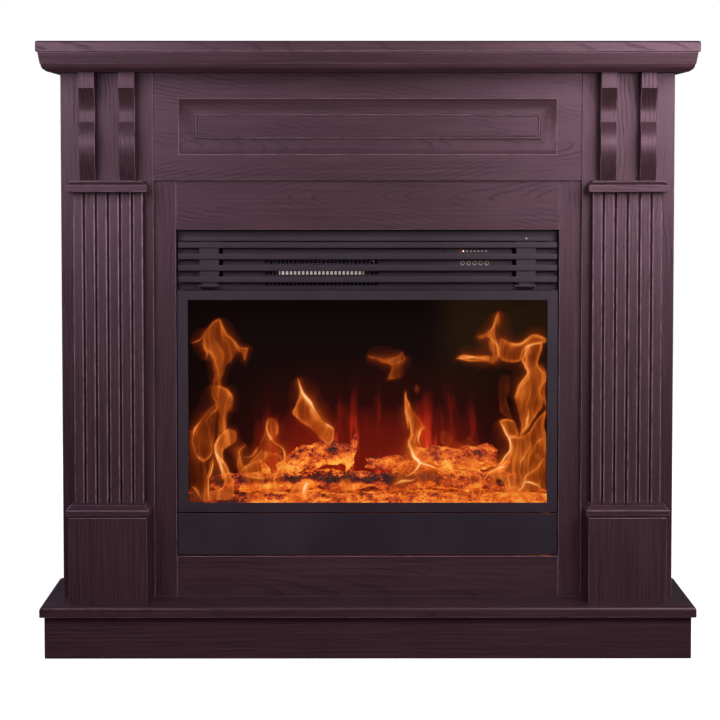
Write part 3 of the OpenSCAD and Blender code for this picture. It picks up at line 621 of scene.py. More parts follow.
def eased_mesh(name, shape, width, limit=30.0):
    """Rounds the sharp outer edges. The middle of each round is marked as its arris."""
    shape.normal_update()
    sharp = [edge for edge in shape.edges
             if edge.is_manifold and edge.is_convex and edge.calc_face_angle(0.0) > math.radians(limit)]
    made = bmesh.ops.bevel(shape, geom=sharp, offset=width, segments=2, profile=0.5,
                           affect="EDGES", clamp_overlap=True)
    rounded = set(made["faces"])
    arris = [float(all(face in rounded for face in vertex.link_faces)) for vertex in shape.verts]
    mesh = mesh_of(name, shape)
    write_attribute(mesh, "arris", "FLOAT", "value", arris)
    return evenly_shaded(mesh)


def evenly_shaded(mesh):
    """Smooth shading in which the large faces look flat."""
    mesh.polygons.foreach_set("use_smooth", [True] * len(mesh.polygons))
    return settled(mesh, ("WEIGHTED_NORMAL", {"weight": 100}))


def settled(mesh, *modifiers):
    """The plain mesh that is left when modifiers of a kind and settings are applied."""
    carrier = bpy.data.objects.new("carrier", mesh)
    bpy.context.scene.collection.objects.link(carrier)
    for kind, settings in modifiers:
        modifier = carrier.modifiers.new(kind, kind)
        for name, value in settings.items():
            if kind == "NODES" and name != "node_group":
                modifier[socket_identifier(settings["node_group"], name)] = value
            else:
                setattr(modifier, name, value)
    bpy.context.view_layer.update()
    graph = bpy.context.evaluated_depsgraph_get()
    result = bpy.data.meshes.new_from_object(
        carrier.evaluated_get(graph), preserve_all_data_layers=True, depsgraph=graph)
    bpy.data.objects.remove(carrier)
    return result


def socket_identifier(tree, label):
    """The identifier of a tree's input socket."""
    return next(item.identifier for item in tree.interface.items_tree
                if item.name == label and item.in_out == "INPUT")


def turned_outwards(mesh):
    """Joins doubles and points every face outwards."""
    shape = bmesh.new()
    shape.from_mesh(mesh)
    bmesh.ops.remove_doubles(shape, verts=shape.verts, dist=MERGE)
    bmesh.ops.recalc_face_normals(shape, faces=shape.faces)
    shape.to_mesh(mesh)
    shape.free()
    return mesh


def show_piece(name, mesh, slot, body, *stands_for):
    """A finished piece on its body, in place of the CAD nodes that it stands for."""
    piece = bpy.data.objects.new(name, mesh)
    bpy.context.scene.collection.objects.link(piece)
    finish = next(filter(None, mesh.materials), None) or finish_of(slot)
    mesh.materials.clear()
    mesh.materials.append(finish)
    mesh.polygons.foreach_set("material_index", [0] * len(mesh.polygons))
    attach(piece, body)
    if stands_for:
        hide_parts(*stands_for)
    return piece


def show_in_place_of(node, mesh, ending):
    """A finished piece that stands for one CAD node and takes its slot and body."""
    return show_piece(f"{node}_{ending}", mesh, SLOT_OF[node], BODY_OF[node], node)


def dress_node(node):
    """Gives a CAD node, whose shape is right, the finish of its slot."""
    data = frame["nodes"][node].data
    data.materials.clear()
    data.materials.append(finish_of(SLOT_OF[node]))


def lathe(profile, sides, centre):
    """A closed body turned about the Y axis from (radius, y, mark) points that start and end on the axis."""
    shape = bmesh.new()
    rings = []
    for radius, y, _ in profile:
        if radius == 0:
            rings.append([shape.verts.new((0, y, 0))])
        else:
            rings.append([shape.verts.new((radius * math.cos(turn), y, radius * math.sin(turn)))
                          for turn in (2 * math.pi * i / sides for i in range(sides))])
    for first, second in zip(rings, rings[1:]):
        bridge(shape, first, second)
    marks = [mark for ring, (_, _, mark) in zip(rings, profile) for _ in ring]
    bmesh.ops.recalc_face_normals(shape, faces=shape.faces)
    mesh = mesh_of("turned", shape)
    write_attribute(mesh, "mark", "FLOAT", "value", marks)
    mesh.transform(Matrix.Translation(centre))
    return mesh


# ---- Geometry Nodes ----

def new_tree(name, inputs):
    """A Geometry Nodes tree with named inputs of a kind, and its graph and input values."""
    tree = bpy.data.node_groups.new(name, "GeometryNodeTree")
    tree.interface.new_socket("Points", in_out="INPUT", socket_type="NodeSocketGeometry")
    for label, kind in inputs.items():
        tree.interface.new_socket(label, in_out="INPUT", socket_type="NodeSocket" + kind)
    tree.interface.new_socket("Result", in_out="OUTPUT", socket_type="NodeSocketGeometry")
    graph = Graph(tree)
    source = tree.nodes.new("NodeGroupInput")
    given = {socket.name: Value(graph, socket) for socket in source.outputs if socket.name}
    return tree, graph, given


def close_tree(graph, shape, material):
    """Realizes the instances, sets the material and ends the tree."""
    solid = graph.add("GeometryNodeRealizeInstances", None, {"Geometry": shape})
    painted = graph.add("GeometryNodeSetMaterial", None, {"Geometry": solid, "Material": material})
    graph.add("NodeGroupOutput", None, {"Result": painted})


def grown(tree, values, places=()):
    """The plain mesh that a tree makes from some starting points."""
    start = bpy.data.meshes.new(tree.name)
    start.from_pydata(list(places), [], [])
    return turned_outwards(settled(start, ("NODES", {"node_group": tree, **values})))


def vector_of(graph, x=0.0, y=0.0, z=0.0):
    """A vector from three values."""
    return graph.add("ShaderNodeCombineXYZ", None, {0: x, 1: y, 2: z})


def moved(graph, shape, place=(0, 0, 0), turn=(0, 0, 0)):
    """A shape turned and then moved."""
    return graph.add("GeometryNodeTransform", None,
                     {"Geometry": shape, "Translation": place, "Rotation": turn})


def rounded_bar(graph, width, depth, length, radius, steps):
    """A bar of rounded rectangular section that rises from the origin along Z."""
    section = graph.add("GeometryNodeCurvePrimitiveQuadrilateral", None, {"Width": width, "Height": depth})
    section = graph.add("GeometryNodeFilletCurve", {"mode": "POLY"},
                        {"Curve": section, "Count": steps, "Radius": radius, "Limit Radius": True})
    return thickened(graph, section, vector_of(graph, z=length))


def thickened(graph, outline, offset):
    """A closed solid between an outline in the XY plane and its copy at an offset."""
    face = graph.add("GeometryNodeFillCurve", {"mode": "NGONS"}, {"Curve": outline})
    sides = graph.add("GeometryNodeExtrudeMesh", {"mode": "FACES"},
                      {"Mesh": face, "Offset": offset, "Offset Scale": 1.0, "Individual": False})
    under = graph.add("GeometryNodeFlipFaces", None, {"Mesh": face})
    both = graph.add("GeometryNodeJoinGeometry", None, {0: [sides, under]})
    return graph.add("GeometryNodeMergeByDistance", None, {"Geometry": both, "Distance": MERGE})


def row_of(graph, count, pitch, shape, axis):
    """Copies of a shape in a row along one axis."""
    offset = vector_of(graph, **{axis: pitch})
    line = graph.add("GeometryNodeMeshLine", None, {"Count": count, "Offset": offset})
    return graph.add("GeometryNodeInstanceOnPoints", None, {"Points": line, "Instance": shape})


def fluted_panel_tree():
    """Upright ribs with rounded edges, in a row in front of a backing board."""
    tree, g, given = new_tree("fluted_panel", {
        "Ribs": "Int", "Pitch": "Float", "Rib Width": "Float", "Rib Depth": "Float", "Backing": "Float",
        "Height": "Float", "Edge Radius": "Float", "Place": "Vector"})
    rib = rounded_bar(g, given["Rib Width"], given["Rib Depth"], given["Height"], given["Edge Radius"], 6)
    width = given["Ribs"] * given["Pitch"]
    ribs = row_of(g, given["Ribs"], given["Pitch"], rib, "x")
    ribs = moved(g, ribs, vector_of(g, (given["Pitch"] - width) / 2, given["Rib Depth"] / 2))
    board = g.add("GeometryNodeMeshCube", None, {
        "Size": vector_of(g, width - (given["Pitch"] - given["Rib Width"]), given["Backing"],
                          given["Height"])})
    board = moved(g, board, vector_of(g, 0.0, given["Rib Depth"] - given["Backing"] / 2 + given["Backing"],
                                      given["Height"] / 2))
    both = g.add("GeometryNodeJoinGeometry", None, {0: [ribs, board]})
    close_tree(g, moved(g, both, given["Place"]), finish_of("dark_oak"))
    return tree


def louvre_tree():
    """Level blades, one above another, with a shorter flange on top."""
    tree, g, given = new_tree("louvre", {
        "Blades": "Int", "Pitch": "Float", "Blade Height": "Float", "Thickness": "Float", "Length": "Float",
        "Edge Radius": "Float", "Flange Height": "Float", "Flange Gap": "Float", "Flange Inset": "Float",
        "Place": "Vector"})
    level = (0.0, math.radians(90), 0.0)
    blade = rounded_bar(g, given["Blade Height"], given["Thickness"], given["Length"],
                        given["Edge Radius"], 4)
    blade = moved(g, blade, vector_of(g, given["Length"] * -0.5), level)
    blades = row_of(g, given["Blades"], given["Pitch"], blade, "z")
    short = given["Length"] - 2.0 * given["Flange Inset"]
    flange = rounded_bar(g, given["Flange Height"], given["Thickness"], short, given["Edge Radius"], 4)
    top = (given["Blades"] - 1.0) * given["Pitch"] + (given["Blade Height"] + given["Flange Height"]) / 2
    flange = moved(g, flange, vector_of(g, short * -0.5, 0.0, top + given["Flange Gap"]), level)
    both = g.add("GeometryNodeJoinGeometry", None, {0: [blades, flange]})
    close_tree(g, moved(g, both, given["Place"]), finish_of("black_steel"))
    return tree


def grille_tree():
    """A thin plate with rows of slots that have round corners."""
    tree, g, given = new_tree("outlet_grille", {
        "Columns": "Int", "Rows": "Int", "Column Pitch": "Float", "Row Pitch": "Float", "Slot Width": "Float",
        "Slot Height": "Float", "Plate Width": "Float", "Plate Height": "Float", "Thickness": "Float",
        "Slots Rise": "Float", "Place": "Vector"})
    slot = g.add("GeometryNodeCurvePrimitiveQuadrilateral", None,
                 {"Width": given["Slot Width"], "Height": given["Slot Height"]})
    slot = g.add("GeometryNodeFilletCurve", {"mode": "POLY"}, {"Curve": slot, "Count": 2, "Radius": 0.7 * MM})
    grid = g.add("GeometryNodeMeshGrid", None, {
        "Size X": (given["Columns"] - 1.0) * given["Column Pitch"],
        "Size Y": (given["Rows"] - 1.0) * given["Row Pitch"],
        "Vertices X": given["Columns"], "Vertices Y": given["Rows"]})
    slots = g.add("GeometryNodeInstanceOnPoints", None, {"Points": grid, "Instance": slot})
    slots = moved(g, slots, vector_of(g, 0.0, given["Slots Rise"]))
    slots = g.add("GeometryNodeRealizeInstances", None, {"Geometry": slots})
    edge = g.add("GeometryNodeCurvePrimitiveQuadrilateral", None,
                 {"Width": given["Plate Width"], "Height": given["Plate Height"]})
    outline = g.add("GeometryNodeJoinGeometry", None, {0: [edge, slots]})
    plate = thickened(g, outline, vector_of(g, z=given["Thickness"]))
    close_tree(g, moved(g, plate, given["Place"], (math.radians(90), 0.0, 0.0)), finish_of("black_steel"))
    return tree


def screw_tree():
    """Round-headed screws with a cross recess, one at each starting point, facing +Y."""
    tree, g, given = new_tree("cover_screws", {
        "Head Radius": "Float", "Head Height": "Float", "Shank Radius": "Float", "Shank Length": "Float"})
    head = g.add("GeometryNodeMeshCone", None, {
        "Vertices": 24, "Radius Top": given["Head Radius"] * 0.62, "Radius Bottom": given["Head Radius"],
        "Depth": given["Head Height"]})
    arm = g.add("GeometryNodeMeshCube", None, {
        "Size": vector_of(g, given["Head Radius"] * 1.1, given["Head Radius"] * 0.22, given["Head Height"])})
    arm = moved(g, arm, vector_of(g, z=given["Head Height"] * 0.75))
    other = moved(g, arm, turn=(0.0, 0.0, math.radians(90)))
    cut = g.add("GeometryNodeMeshBoolean", {"operation": "DIFFERENCE"},
                {"Mesh 1": head, "Mesh 2": [arm, other]})
    shank = g.add("GeometryNodeMeshCylinder", None, {
        "Vertices": 16, "Radius": given["Shank Radius"], "Depth": given["Shank Length"]})
    shank = moved(g, shank, vector_of(g, z=given["Shank Length"] * -0.5 + 0.05 * MM))
    screw = g.add("GeometryNodeJoinGeometry", None, {0: [cut, shank]})
    screw = moved(g, screw, turn=(math.radians(-90), 0.0, 0.0))
    placed = g.add("GeometryNodeInstanceOnPoints", None, {"Points": given["Points"], "Instance": screw})
    close_tree(g, placed, finish_of("bare_steel"))
    return tree


def light_pipe_tree():
    """Round light pipes with domed ends, one at each starting point, facing -Y."""
    tree, g, given = new_tree("light_pipes", {"Radius": "Float", "Length": "Float"})
    pipe = g.add("GeometryNodeMeshCylinder", None,
                 {"Vertices": 20, "Radius": given["Radius"], "Depth": given["Length"]})
    dome = g.add("GeometryNodeMeshUVSphere", None, {"Segments": 20, "Rings": 8, "Radius": given["Radius"]})
    dome = g.add("GeometryNodeTransform", None, {"Geometry": dome, "Scale": (1.0, 1.0, 0.4),
                                                 "Translation": vector_of(g, z=given["Length"] / 2)})
    both = g.add("GeometryNodeJoinGeometry", None, {0: [pipe, dome]})
    both = moved(g, both, vector_of(g, 0.0, given["Length"] / 2), (math.radians(90), 0.0, 0.0))
    placed = g.add("GeometryNodeInstanceOnPoints", None, {"Points": given["Points"], "Instance": both})
    close_tree(g, placed, finish_of("indicator_red"))
    return tree


def ember_tree():
    """Lumps of ember scattered over a strip in front of the logs."""
    tree, g, given = new_tree("embers", {
        "Strip Length": "Float", "Strip Width": "Float", "Density": "Float", "Smallest": "Float",
        "Largest": "Float", "Seed": "Int", "Place": "Vector"})
    strip = g.add("GeometryNodeMeshGrid", None, {
        "Size X": given["Strip Length"], "Size Y": given["Strip Width"], "Vertices X": 60, "Vertices Y": 4})
    points = g.add("GeometryNodeDistributePointsOnFaces", None,
                   {"Mesh": strip, "Density": given["Density"], "Seed": given["Seed"]})
    lump = g.add("GeometryNodeMeshIcoSphere", None, {"Radius": 1.0, "Subdivisions": 2})
    scale = g.add("FunctionNodeRandomValue", {"data_type": "FLOAT_VECTOR"}, {
        0: vector_of(g, given["Smallest"], given["Smallest"], given["Smallest"] * 0.7),
        1: vector_of(g, given["Largest"], given["Largest"], given["Largest"] * 0.7), "Seed": given["Seed"]})
    turn = g.add("FunctionNodeRandomValue", {"data_type": "FLOAT_VECTOR"},
                 {0: (0.0, 0.0, 0.0), 1: (6.28, 6.28, 6.28), "Seed": given["Seed"] + 1})
    lumps = g.add("GeometryNodeInstanceOnPoints", None,
                  {"Points": points, "Instance": lump, "Scale": scale, "Rotation": turn})
    lumps = g.add("GeometryNodeRealizeInstances", None, {"Geometry": lumps})
    place = g.add("GeometryNodeInputPosition")
    rough = g.add("ShaderNodeTexNoise", None, {"Vector": place, "Scale": 260.0, "Detail": 2.0}, "Color")
    centred = g.add("ShaderNodeVectorMath", {"operation": "SUBTRACT"}, {0: rough, 1: (0.5, 0.5, 0.5)})
    offset = g.add("ShaderNodeVectorMath", {"operation": "MULTIPLY"}, {0: centred, 1: (0.006, 0.006, 0.006)})
    lumps = g.add("GeometryNodeSetPosition", None, {"Geometry": lumps, "Offset": offset})
    close_tree(g, moved(g, lumps, given["Place"]), finish_of("ember_resin"))
    return tree


# ---- Boards ----

# The grain's direction, the direction across it and the direction into the board, for each group
BOARD_GROUPS = {
    "XZY": ("frieze_board", "top_rail", "bottom_rail", "plinth_front"),
    "XYZ": ("mantel_shelf", "hearth_board"),
    "ZXY": ("pilaster_board_left", "pilaster_board_right", "stile_left", "stile_right",
            "plinth_block_left", "plinth_block_right"),
    "ZYX": ("side_panel_left", "side_panel_right"),
    "YZX": ("plinth_left", "plinth_right"),
}
MOULDINGS = ("cornice_board", "pilaster_cap_left", "pilaster_cap_right",
             "base_moulding_left", "base_moulding_right")
# For the boards that show arches: how far below the face the tree's middle lies, how far to its side,
# and how fast the rings narrow along the board
ARCHED = {"frieze_board": (0.016, 0.030, 0.20), "top_rail": (0.020, -0.012, -0.17),
          "mantel_shelf": (0.030, 0.04, 0.10), "bottom_rail": (0.05, 0.03, 0.06)}


def write_grain(mesh, node, order):
    """Stores each point's place along, across and below the board's face, and the rise of its rings."""
    chance = random.Random(node)
    rift = (chance.uniform(0.02, 0.06), chance.choice((-1, 1)) * chance.uniform(0.10, 0.20),
            chance.uniform(-0.02, 0.02))
    pith, sideways, taper = ARCHED.get(node, rift)
    places = points_of(mesh)
    middle = (places.min(0) + places.max(0)) / 2
    axes = ["XYZ".index(letter) for letter in order]
    along, across, into = (places - middle)[:, axes].T
    bearing = chance.uniform(0.0, 40.0)
    write_attribute(mesh, "grain", "FLOAT_VECTOR", "vector",
                    np.stack([along + bearing, across + sideways, into + pith], 1))
    write_attribute(mesh, "rise", "FLOAT", "value", taper * along)


class FIREPLACE_OT_boards(bpy.types.Operator):
    """Ease the edges of the flat boards and give each its own grain"""

    bl_idname = "fireplace.boards"
    bl_label = "Boards"

    def execute(self, context):
        wood = context.scene.fireplace_wood
        for order, nodes in BOARD_GROUPS.items():
            for node in nodes:
                if node == "frieze_board":
                    mesh = eased_mesh(node, merged_copy(node), wood.moulding_edge, 15.0)
                else:
                    mesh = eased_mesh(node, merged_copy(node), wood.edge_width)
                write_grain(mesh, node, order)
                show_in_place_of(node, mesh, "oak")
        for node in ("back_battens", "insert_shelf"):
            show_in_place_of(node, eased_mesh(node, merged_copy(node), wood.moulding_edge), "board")
        return {"FINISHED"}


class FIREPLACE_OT_mouldings(bpy.types.Operator):
    """Finish the cornice, the pilaster caps and the base mouldings"""

    bl_idname = "fireplace.mouldings"
    bl_label = "Mouldings"

    def execute(self, context):
        wood = context.scene.fireplace_wood
        for node in MOULDINGS:
            mesh = eased_mesh(node, merged_copy(node), wood.moulding_edge, 24.0)
            write_grain(mesh, node, "XZY")
            show_in_place_of(node, mesh, "oak")
        return {"FINISHED"}


# How wide the painted highlight line is along a rib's or a blade's edge; on a rib it also stands for rubbed
# stain
EDGE_HIGHLIGHT_WIDTH = 0.9 * MM

# A corbel's turning heights as (depth below the cornice, stand-out). Quarter waves join them:
# a hollow under the block, a flat, the rise of the nose, and its fall to the foot.
CORBEL_TURNS = ((0.025, 0.043), (0.062, 0.028), (0.077, 0.0285), (0.114, 0.039), (0.169, 0.024))
CORBEL_NOSE = 3
CORBEL_STEPS = 14


def corbel_outline(low, high):
    """The corbel's side outline as (y, z), from the top of its block down its curved face."""
    outline = [(high.y, high.z), (low.y, high.z), (low.y, high.z - CORBEL_TURNS[0][0])]
    for number, ((depth, out), (next_depth, next_out)) in enumerate(zip(CORBEL_TURNS, CORBEL_TURNS[1:])):
        for step in range(CORBEL_STEPS):
            share = step / CORBEL_STEPS
            quarter = math.pi / 2 * share
            ease = math.sin(quarter) if number < CORBEL_NOSE else 1 - math.cos(quarter)
            outline.append((high.y - out - (next_out - out) * ease,
                            high.z - depth - (next_depth - depth) * share))
    return outline + [(high.y - CORBEL_TURNS[-1][1], low.z), (high.y, low.z)]


class FIREPLACE_OT_corbels(bpy.types.Operator):
    """Saw the four corbels to their wavy outline"""

    bl_idname = "fireplace.corbels"
    bl_label = "Corbels"

    def execute(self, context):
        wood = context.scene.fireplace_wood
        for node in (f"corbel_{side}_{place}" for side in ("left", "right") for place in ("inner", "outer")):
            low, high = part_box(node)
            outline = corbel_outline(low, high)
            shape = bmesh.new()
            sides = [[shape.verts.new((x, y, z)) for y, z in outline] for x in (low.x, high.x)]
            shape.faces.new(sides[0])
            shape.faces.new(sides[1][::-1])
            bridge(shape, sides[1], sides[0])
            bmesh.ops.recalc_face_normals(shape, faces=shape.faces)
            mesh = eased_mesh(node, shape, wood.edge_width * 0.8, 40.0)
            write_grain(mesh, node, "ZXY")
            show_in_place_of(node, mesh, "oak")
        return {"FINISHED"}


class FIREPLACE_OT_fluted_panels(bpy.types.Operator):
    """Grow the ribs of the two fluted panels"""

    bl_idname = "fireplace.fluted_panels"
    bl_label = "Fluted panels"

    ribs: bpy.props.IntProperty(name="Ribs", description="Ribs on each panel", default=6, min=1, max=12)
    groove: length_property("Groove", "Width of the groove between two ribs", 0.0020, 0.001, 0.01)
    groove_depth: length_property("Groove depth", "Depth of a groove", 0.0050, 0.002, 0.01)
    edge_radius: length_property("Edge radius", "Radius of a rib's edge", 0.0032, 0.001, 0.006)

    def execute(self, context):
        tree = fluted_panel_tree()
        for node in ("fluted_panel_left", "fluted_panel_right"):
            low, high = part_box(node)
            pitch = (high.x - low.x + self.groove) / self.ribs
            rib_width = pitch - self.groove
            rib_depth = self.groove_depth + self.edge_radius
            mesh = grown(tree, {
                "Ribs": self.ribs, "Pitch": pitch, "Rib Width": rib_width, "Rib Depth": rib_depth,
                "Backing": high.y - low.y - self.groove_depth, "Height": high.z - low.z,
                "Edge Radius": self.edge_radius, "Place": ((low.x + high.x) / 2, low.y, low.z)})
            # The ribs' front corners carry the arris mark, which the oak finish paints as a lighter line:
            # rubbed stain and a painted highlight.
            places = points_of(mesh)
            from_rib = (places[:, 0] - low.x) % pitch - rib_width / 2
            corner = rib_width / 2 - 0.45 * self.edge_radius
            near_corner = np.exp(-((np.abs(from_rib) - corner) / EDGE_HIGHLIGHT_WIDTH) ** 2)
            front = places[:, 1] < low.y + self.edge_radius / 2
            write_attribute(mesh, "arris", "FLOAT", "value", near_corner * front)
            write_grain(mesh, node, "ZXY")
            show_in_place_of(node, evenly_shaded(mesh), "oak")
        return {"FINISHED"}


# ---- Metalwork ----

FOLDED_STEEL = ("glass_frame", "lower_trim", "fascia_panel", "louvre_straps", "firebox_casing", "back_cover")
STRAP_WIDTH = 31 * MM


class FIREPLACE_OT_steelwork(bpy.types.Operator):
    """Ease the folds of the sheet steel and coat it"""

    bl_idname = "fireplace.steelwork"
    bl_label = "Steelwork"

    def execute(self, context):
        metal = context.scene.fireplace_metal
        for node in FOLDED_STEEL:
            mesh = eased_mesh(node, merged_copy(node), metal.fold_radius * 0.6)
            show_in_place_of(node, mesh, "steel")
        for node in ("hinge_brackets", "hinge_pins", "blower_housing"):
            dress_node(node)
        return {"FINISHED"}


class FIREPLACE_OT_louvre(bpy.types.Operator):
    """Grow the louvre's blades, which flip down with their straps"""

    bl_idname = "fireplace.louvre"
    bl_label = "Louvre"

    blades: bpy.props.IntProperty(
        name="Blades", description="Blades under the flange", default=4, min=1, max=8)
    blade_height: length_property("Blade height", "Height of a blade", 0.009, 0.004, 0.02)
    flange_height: length_property("Flange height", "Height of the top flange", 0.008, 0.004, 0.02)
    flange_gap: length_property("Flange gap", "Gap under the top flange", 0.0015, 0.0, 0.01)
    flange_inset: length_property(
        "Flange inset", "How much the flange is set in at each end", 0.008, 0.0, 0.05)
    edge_radius: length_property("Edge radius", "Radius of a blade's edges", 0.0011, 0.0003, 0.002)
    catch_radius: length_property("Catch radius", "Radius of the catch's round head", 0.0023, 0.001, 0.005)
    catch_out: length_property("Catch height", "How far the catch's head stands out", 0.0010, 0.0005, 0.003)

    def execute(self, context):
        low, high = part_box("louvre_blades")
        low.y += self.catch_out
        stack = high.z - low.z - self.flange_height - self.flange_gap - self.blade_height
        pitch = stack / (self.blades - 1)
        mesh = grown(louvre_tree(), {
            "Blades": self.blades, "Pitch": pitch, "Blade Height": self.blade_height,
            "Thickness": high.y - low.y, "Length": high.x - low.x, "Edge Radius": self.edge_radius,
            "Flange Height": self.flange_height, "Flange Gap": self.flange_gap,
            "Flange Inset": self.flange_inset,
            "Place": ((low.x + high.x) / 2, (low.y + high.y) / 2, low.z + self.blade_height / 2)})
        # The blades' front edges carry the arris mark, which the steel finish paints as a highlight line.
        places = points_of(mesh)
        in_stack = (places[:, 2] - low.z) % pitch
        near_edge = np.minimum(in_stack, np.abs(self.blade_height - in_stack))
        front = places[:, 1] < low.y + 0.8 * MM
        write_attribute(mesh, "arris", "FLOAT", "value", front * (near_edge < EDGE_HIGHLIGHT_WIDTH) * 0.8)
        show_in_place_of("louvre_blades", evenly_shaded(mesh), "steel")
        strap_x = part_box("louvre_straps")[1].x - STRAP_WIDTH / 2
        dome = [(self.catch_radius * math.sin(turn), self.catch_out * (1 - math.cos(turn)), 0)
                for turn in (math.pi / 2 * step / 6 for step in range(7))]
        head = lathe([*dome, (0.0, self.catch_out, 0)], 28,
                     (strap_x, low.y - self.catch_out, high.z - self.flange_height / 2))
        show_piece("louvre_catch", head, "bare_steel", BODY_OF["louvre_blades"])
        return {"FINISHED"}


class FIREPLACE_OT_outlet_grille(bpy.types.Operator):
    """Punch the slots of the warm air outlet"""

    bl_idname = "fireplace.outlet_grille"
    bl_label = "Outlet grille"

    columns: bpy.props.IntProperty(name="Columns", description="Slots in a row", default=28, min=1, max=60)
    rows: bpy.props.IntProperty(name="Rows", description="Rows of slots", default=5, min=1, max=12)
    column_pitch: length_property("Column pitch", "Distance between two slots", 0.00645, 0.004, 0.02)
    row_pitch: length_property("Row pitch", "Distance between two rows", 0.0085, 0.005, 0.02)
    slot_width: length_property("Slot width", "Width of a slot", 0.0038, 0.001, 0.01)
    slot_height: length_property("Slot height", "Height of a slot", 0.0056, 0.001, 0.01)
    rise: length_property("Rise", "How far the slots are set above the plate's middle", -0.001, -0.01, 0.01)

    def execute(self, context):
        low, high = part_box("outlet_grille")
        mesh = grown(grille_tree(), {
            "Columns": self.columns, "Rows": self.rows, "Column Pitch": self.column_pitch,
            "Row Pitch": self.row_pitch, "Slot Width": self.slot_width, "Slot Height": self.slot_height,
            "Plate Width": high.x - low.x, "Plate Height": high.z - low.z, "Thickness": high.y - low.y,
            "Slots Rise": self.rise, "Place": ((low.x + high.x) / 2, high.y, (low.z + high.z) / 2)})
        show_in_place_of("outlet_grille", mesh, "steel")
        return {"FINISHED"}


class FIREPLACE_OT_glass(bpy.types.Operator):
    """Put the glass in its frame"""

    bl_idname = "fireplace.glass"
    bl_label = "Glass"

    def execute(self, context):
        mesh = eased_mesh("glass_pane", merged_copy("glass_pane"), 0.5 * MM)
        show_in_place_of("glass_pane", mesh, "clear")
        return {"FINISHED"}


class FIREPLACE_OT_cover_screws(bpy.types.Operator):
    """Drive the screws of the back cover"""

    bl_idname = "fireplace.cover_screws"
    bl_label = "Cover screws"

    head_radius: length_property("Head radius", "Radius of a screw head", 0.0035, 0.001, 0.01)
    shank_radius: length_property("Shank radius", "Radius of a screw's shank", 0.0016, 0.001, 0.01)
    inset: length_property("Inset", "How far the screws lie from the cover's edge", 0.008, 0.004, 0.03)

    def execute(self, context):
        low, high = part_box("cover_screws")
        cover_low, cover_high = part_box("back_cover")
        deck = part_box("fascia_panel")[0].z
        half = cover_high.x - self.inset
        head_base = cover_high.y
        rows = (cover_low.z + self.inset, cover_high.z - self.inset)
        places = [(x, head_base, z) for x in (-half, 0.0, half) for z in rows]
        places += [(x, head_base, (cover_low.z + deck) / 2) for x in (-half, half)]
        mesh = grown(screw_tree(), {
            "Head Radius": self.head_radius, "Head Height": high.y - head_base,
            "Shank Radius": self.shank_radius, "Shank Length": head_base - low.y}, places)
        show_in_place_of("cover_screws", mesh, "steel")
        return {"FINISHED"}


# ---- Controls ----

BUTTONS = tuple(f"button_{number}" for number in range(1, 6))


class FIREPLACE_OT_controls(bpy.types.Operator):
    """Turn the buttons and light pipes, and finish the panel and its board"""

    bl_idname = "fireplace.controls"
    bl_label = "Controls"

    dish: length_property("Dish", "How far a button's face is dished", 0.0004, 0.0, 0.001)
    ring_inset: length_property(
        "Ring inset", "How far the printed ring lies from the edge", 0.0009, 0.0, 0.003)
    pipe_radius: length_property("Pipe radius", "Radius of a light pipe", 0.0011, 0.0005, 0.003)
    pipes: bpy.props.IntProperty(
        name="Pipes", description="Number of light pipes", default=7, min=2, max=20)

    def execute(self, context):
        for node in BUTTONS:
            show_in_place_of(node, self.button(node), "cap")
        low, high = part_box("indicator_lights")
        pitch = (high.x - low.x - 2 * self.pipe_radius) / (self.pipes - 1)
        places = [(low.x + self.pipe_radius + pitch * i, low.y + 0.45 * MM, (low.z + high.z) / 2)
                  for i in range(self.pipes)]
        pipes = grown(light_pipe_tree(), {"Radius": self.pipe_radius,
                                          "Length": high.y - low.y - 0.5 * MM}, places)
        show_in_place_of("indicator_lights", pipes, "lens")
        panel = eased_mesh("control_panel", merged_copy("control_panel"), 0.25 * MM, 60.0)
        show_in_place_of("control_panel", panel, "moulding")
        for node in ("control_board", "cord_gland"):
            dress_node(node)
        return {"FINISHED"}

    def button(self, node):
        """A dished cap with a printed ring, over the collar and stem that guide it."""
        low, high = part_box(node)
        length = high.y - low.y
        collar_r = (high.x - low.x) / 2
        collar_t = 1.2 * MM
        stem_r = 1.5 * MM
        cap_r = collar_r - 0.6 * MM
        round_r = 0.5 * MM
        ring_r = cap_r - self.ring_inset
        rows = [(0.0, self.dish, 0), (ring_r - 0.7 * MM, self.dish * 0.4, 0),
                (ring_r - 0.5 * MM, 0.02 * MM, 1), (ring_r + 0.3 * MM, 0.0, 1), (cap_r - round_r, 0.0, 0)]
        rows += [(cap_r - round_r + round_r * math.sin(turn), round_r - round_r * math.cos(turn), 0)
                 for turn in (math.pi / 8 * step for step in range(1, 5))]
        collar_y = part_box("control_panel")[1].y + 0.1 * MM - low.y
        rows += [(cap_r, collar_y, 0), (collar_r, collar_y, 0), (collar_r, collar_y + collar_t, 0),
                 (stem_r, collar_y + collar_t, 0), (stem_r, length, 0), (0.0, length, 0)]
        return lathe(rows, 40, ((low.x + high.x) / 2, low.y, (low.z + high.z) / 2))


class FIREPLACE_OT_heater_and_blower(bpy.types.Operator):
    """Finish the heater, the blower and their motor"""

    bl_idname = "fireplace.heater_and_blower"
    bl_label = "Heater and blower"

    def execute(self, context):
        for node in ("heater_element", "blower_wheel", "blower_motor"):
            dress_node(node)
        return {"FINISHED"}


class FIREPLACE_OT_flicker_gear(bpy.types.Operator):
    """Finish the screen, the flicker rod, its motor and the light strip"""

    bl_idname = "fireplace.flicker_gear"
    bl_label = "Flicker gear"

    def execute(self, context):
        for node in ("flame_screen", "flicker_rod", "flicker_motor", "light_board"):
            dress_node(node)
        return {"FINISHED"}


# ---- Logs, embers and flames ----

def rough_height(place, scale, octaves=3):
    """Seedless fractal noise about 0 at a place."""
    return noise.fractal(Vector(place) * scale, 0.6, 2.1, octaves, noise_basis="PERLIN_ORIGINAL")


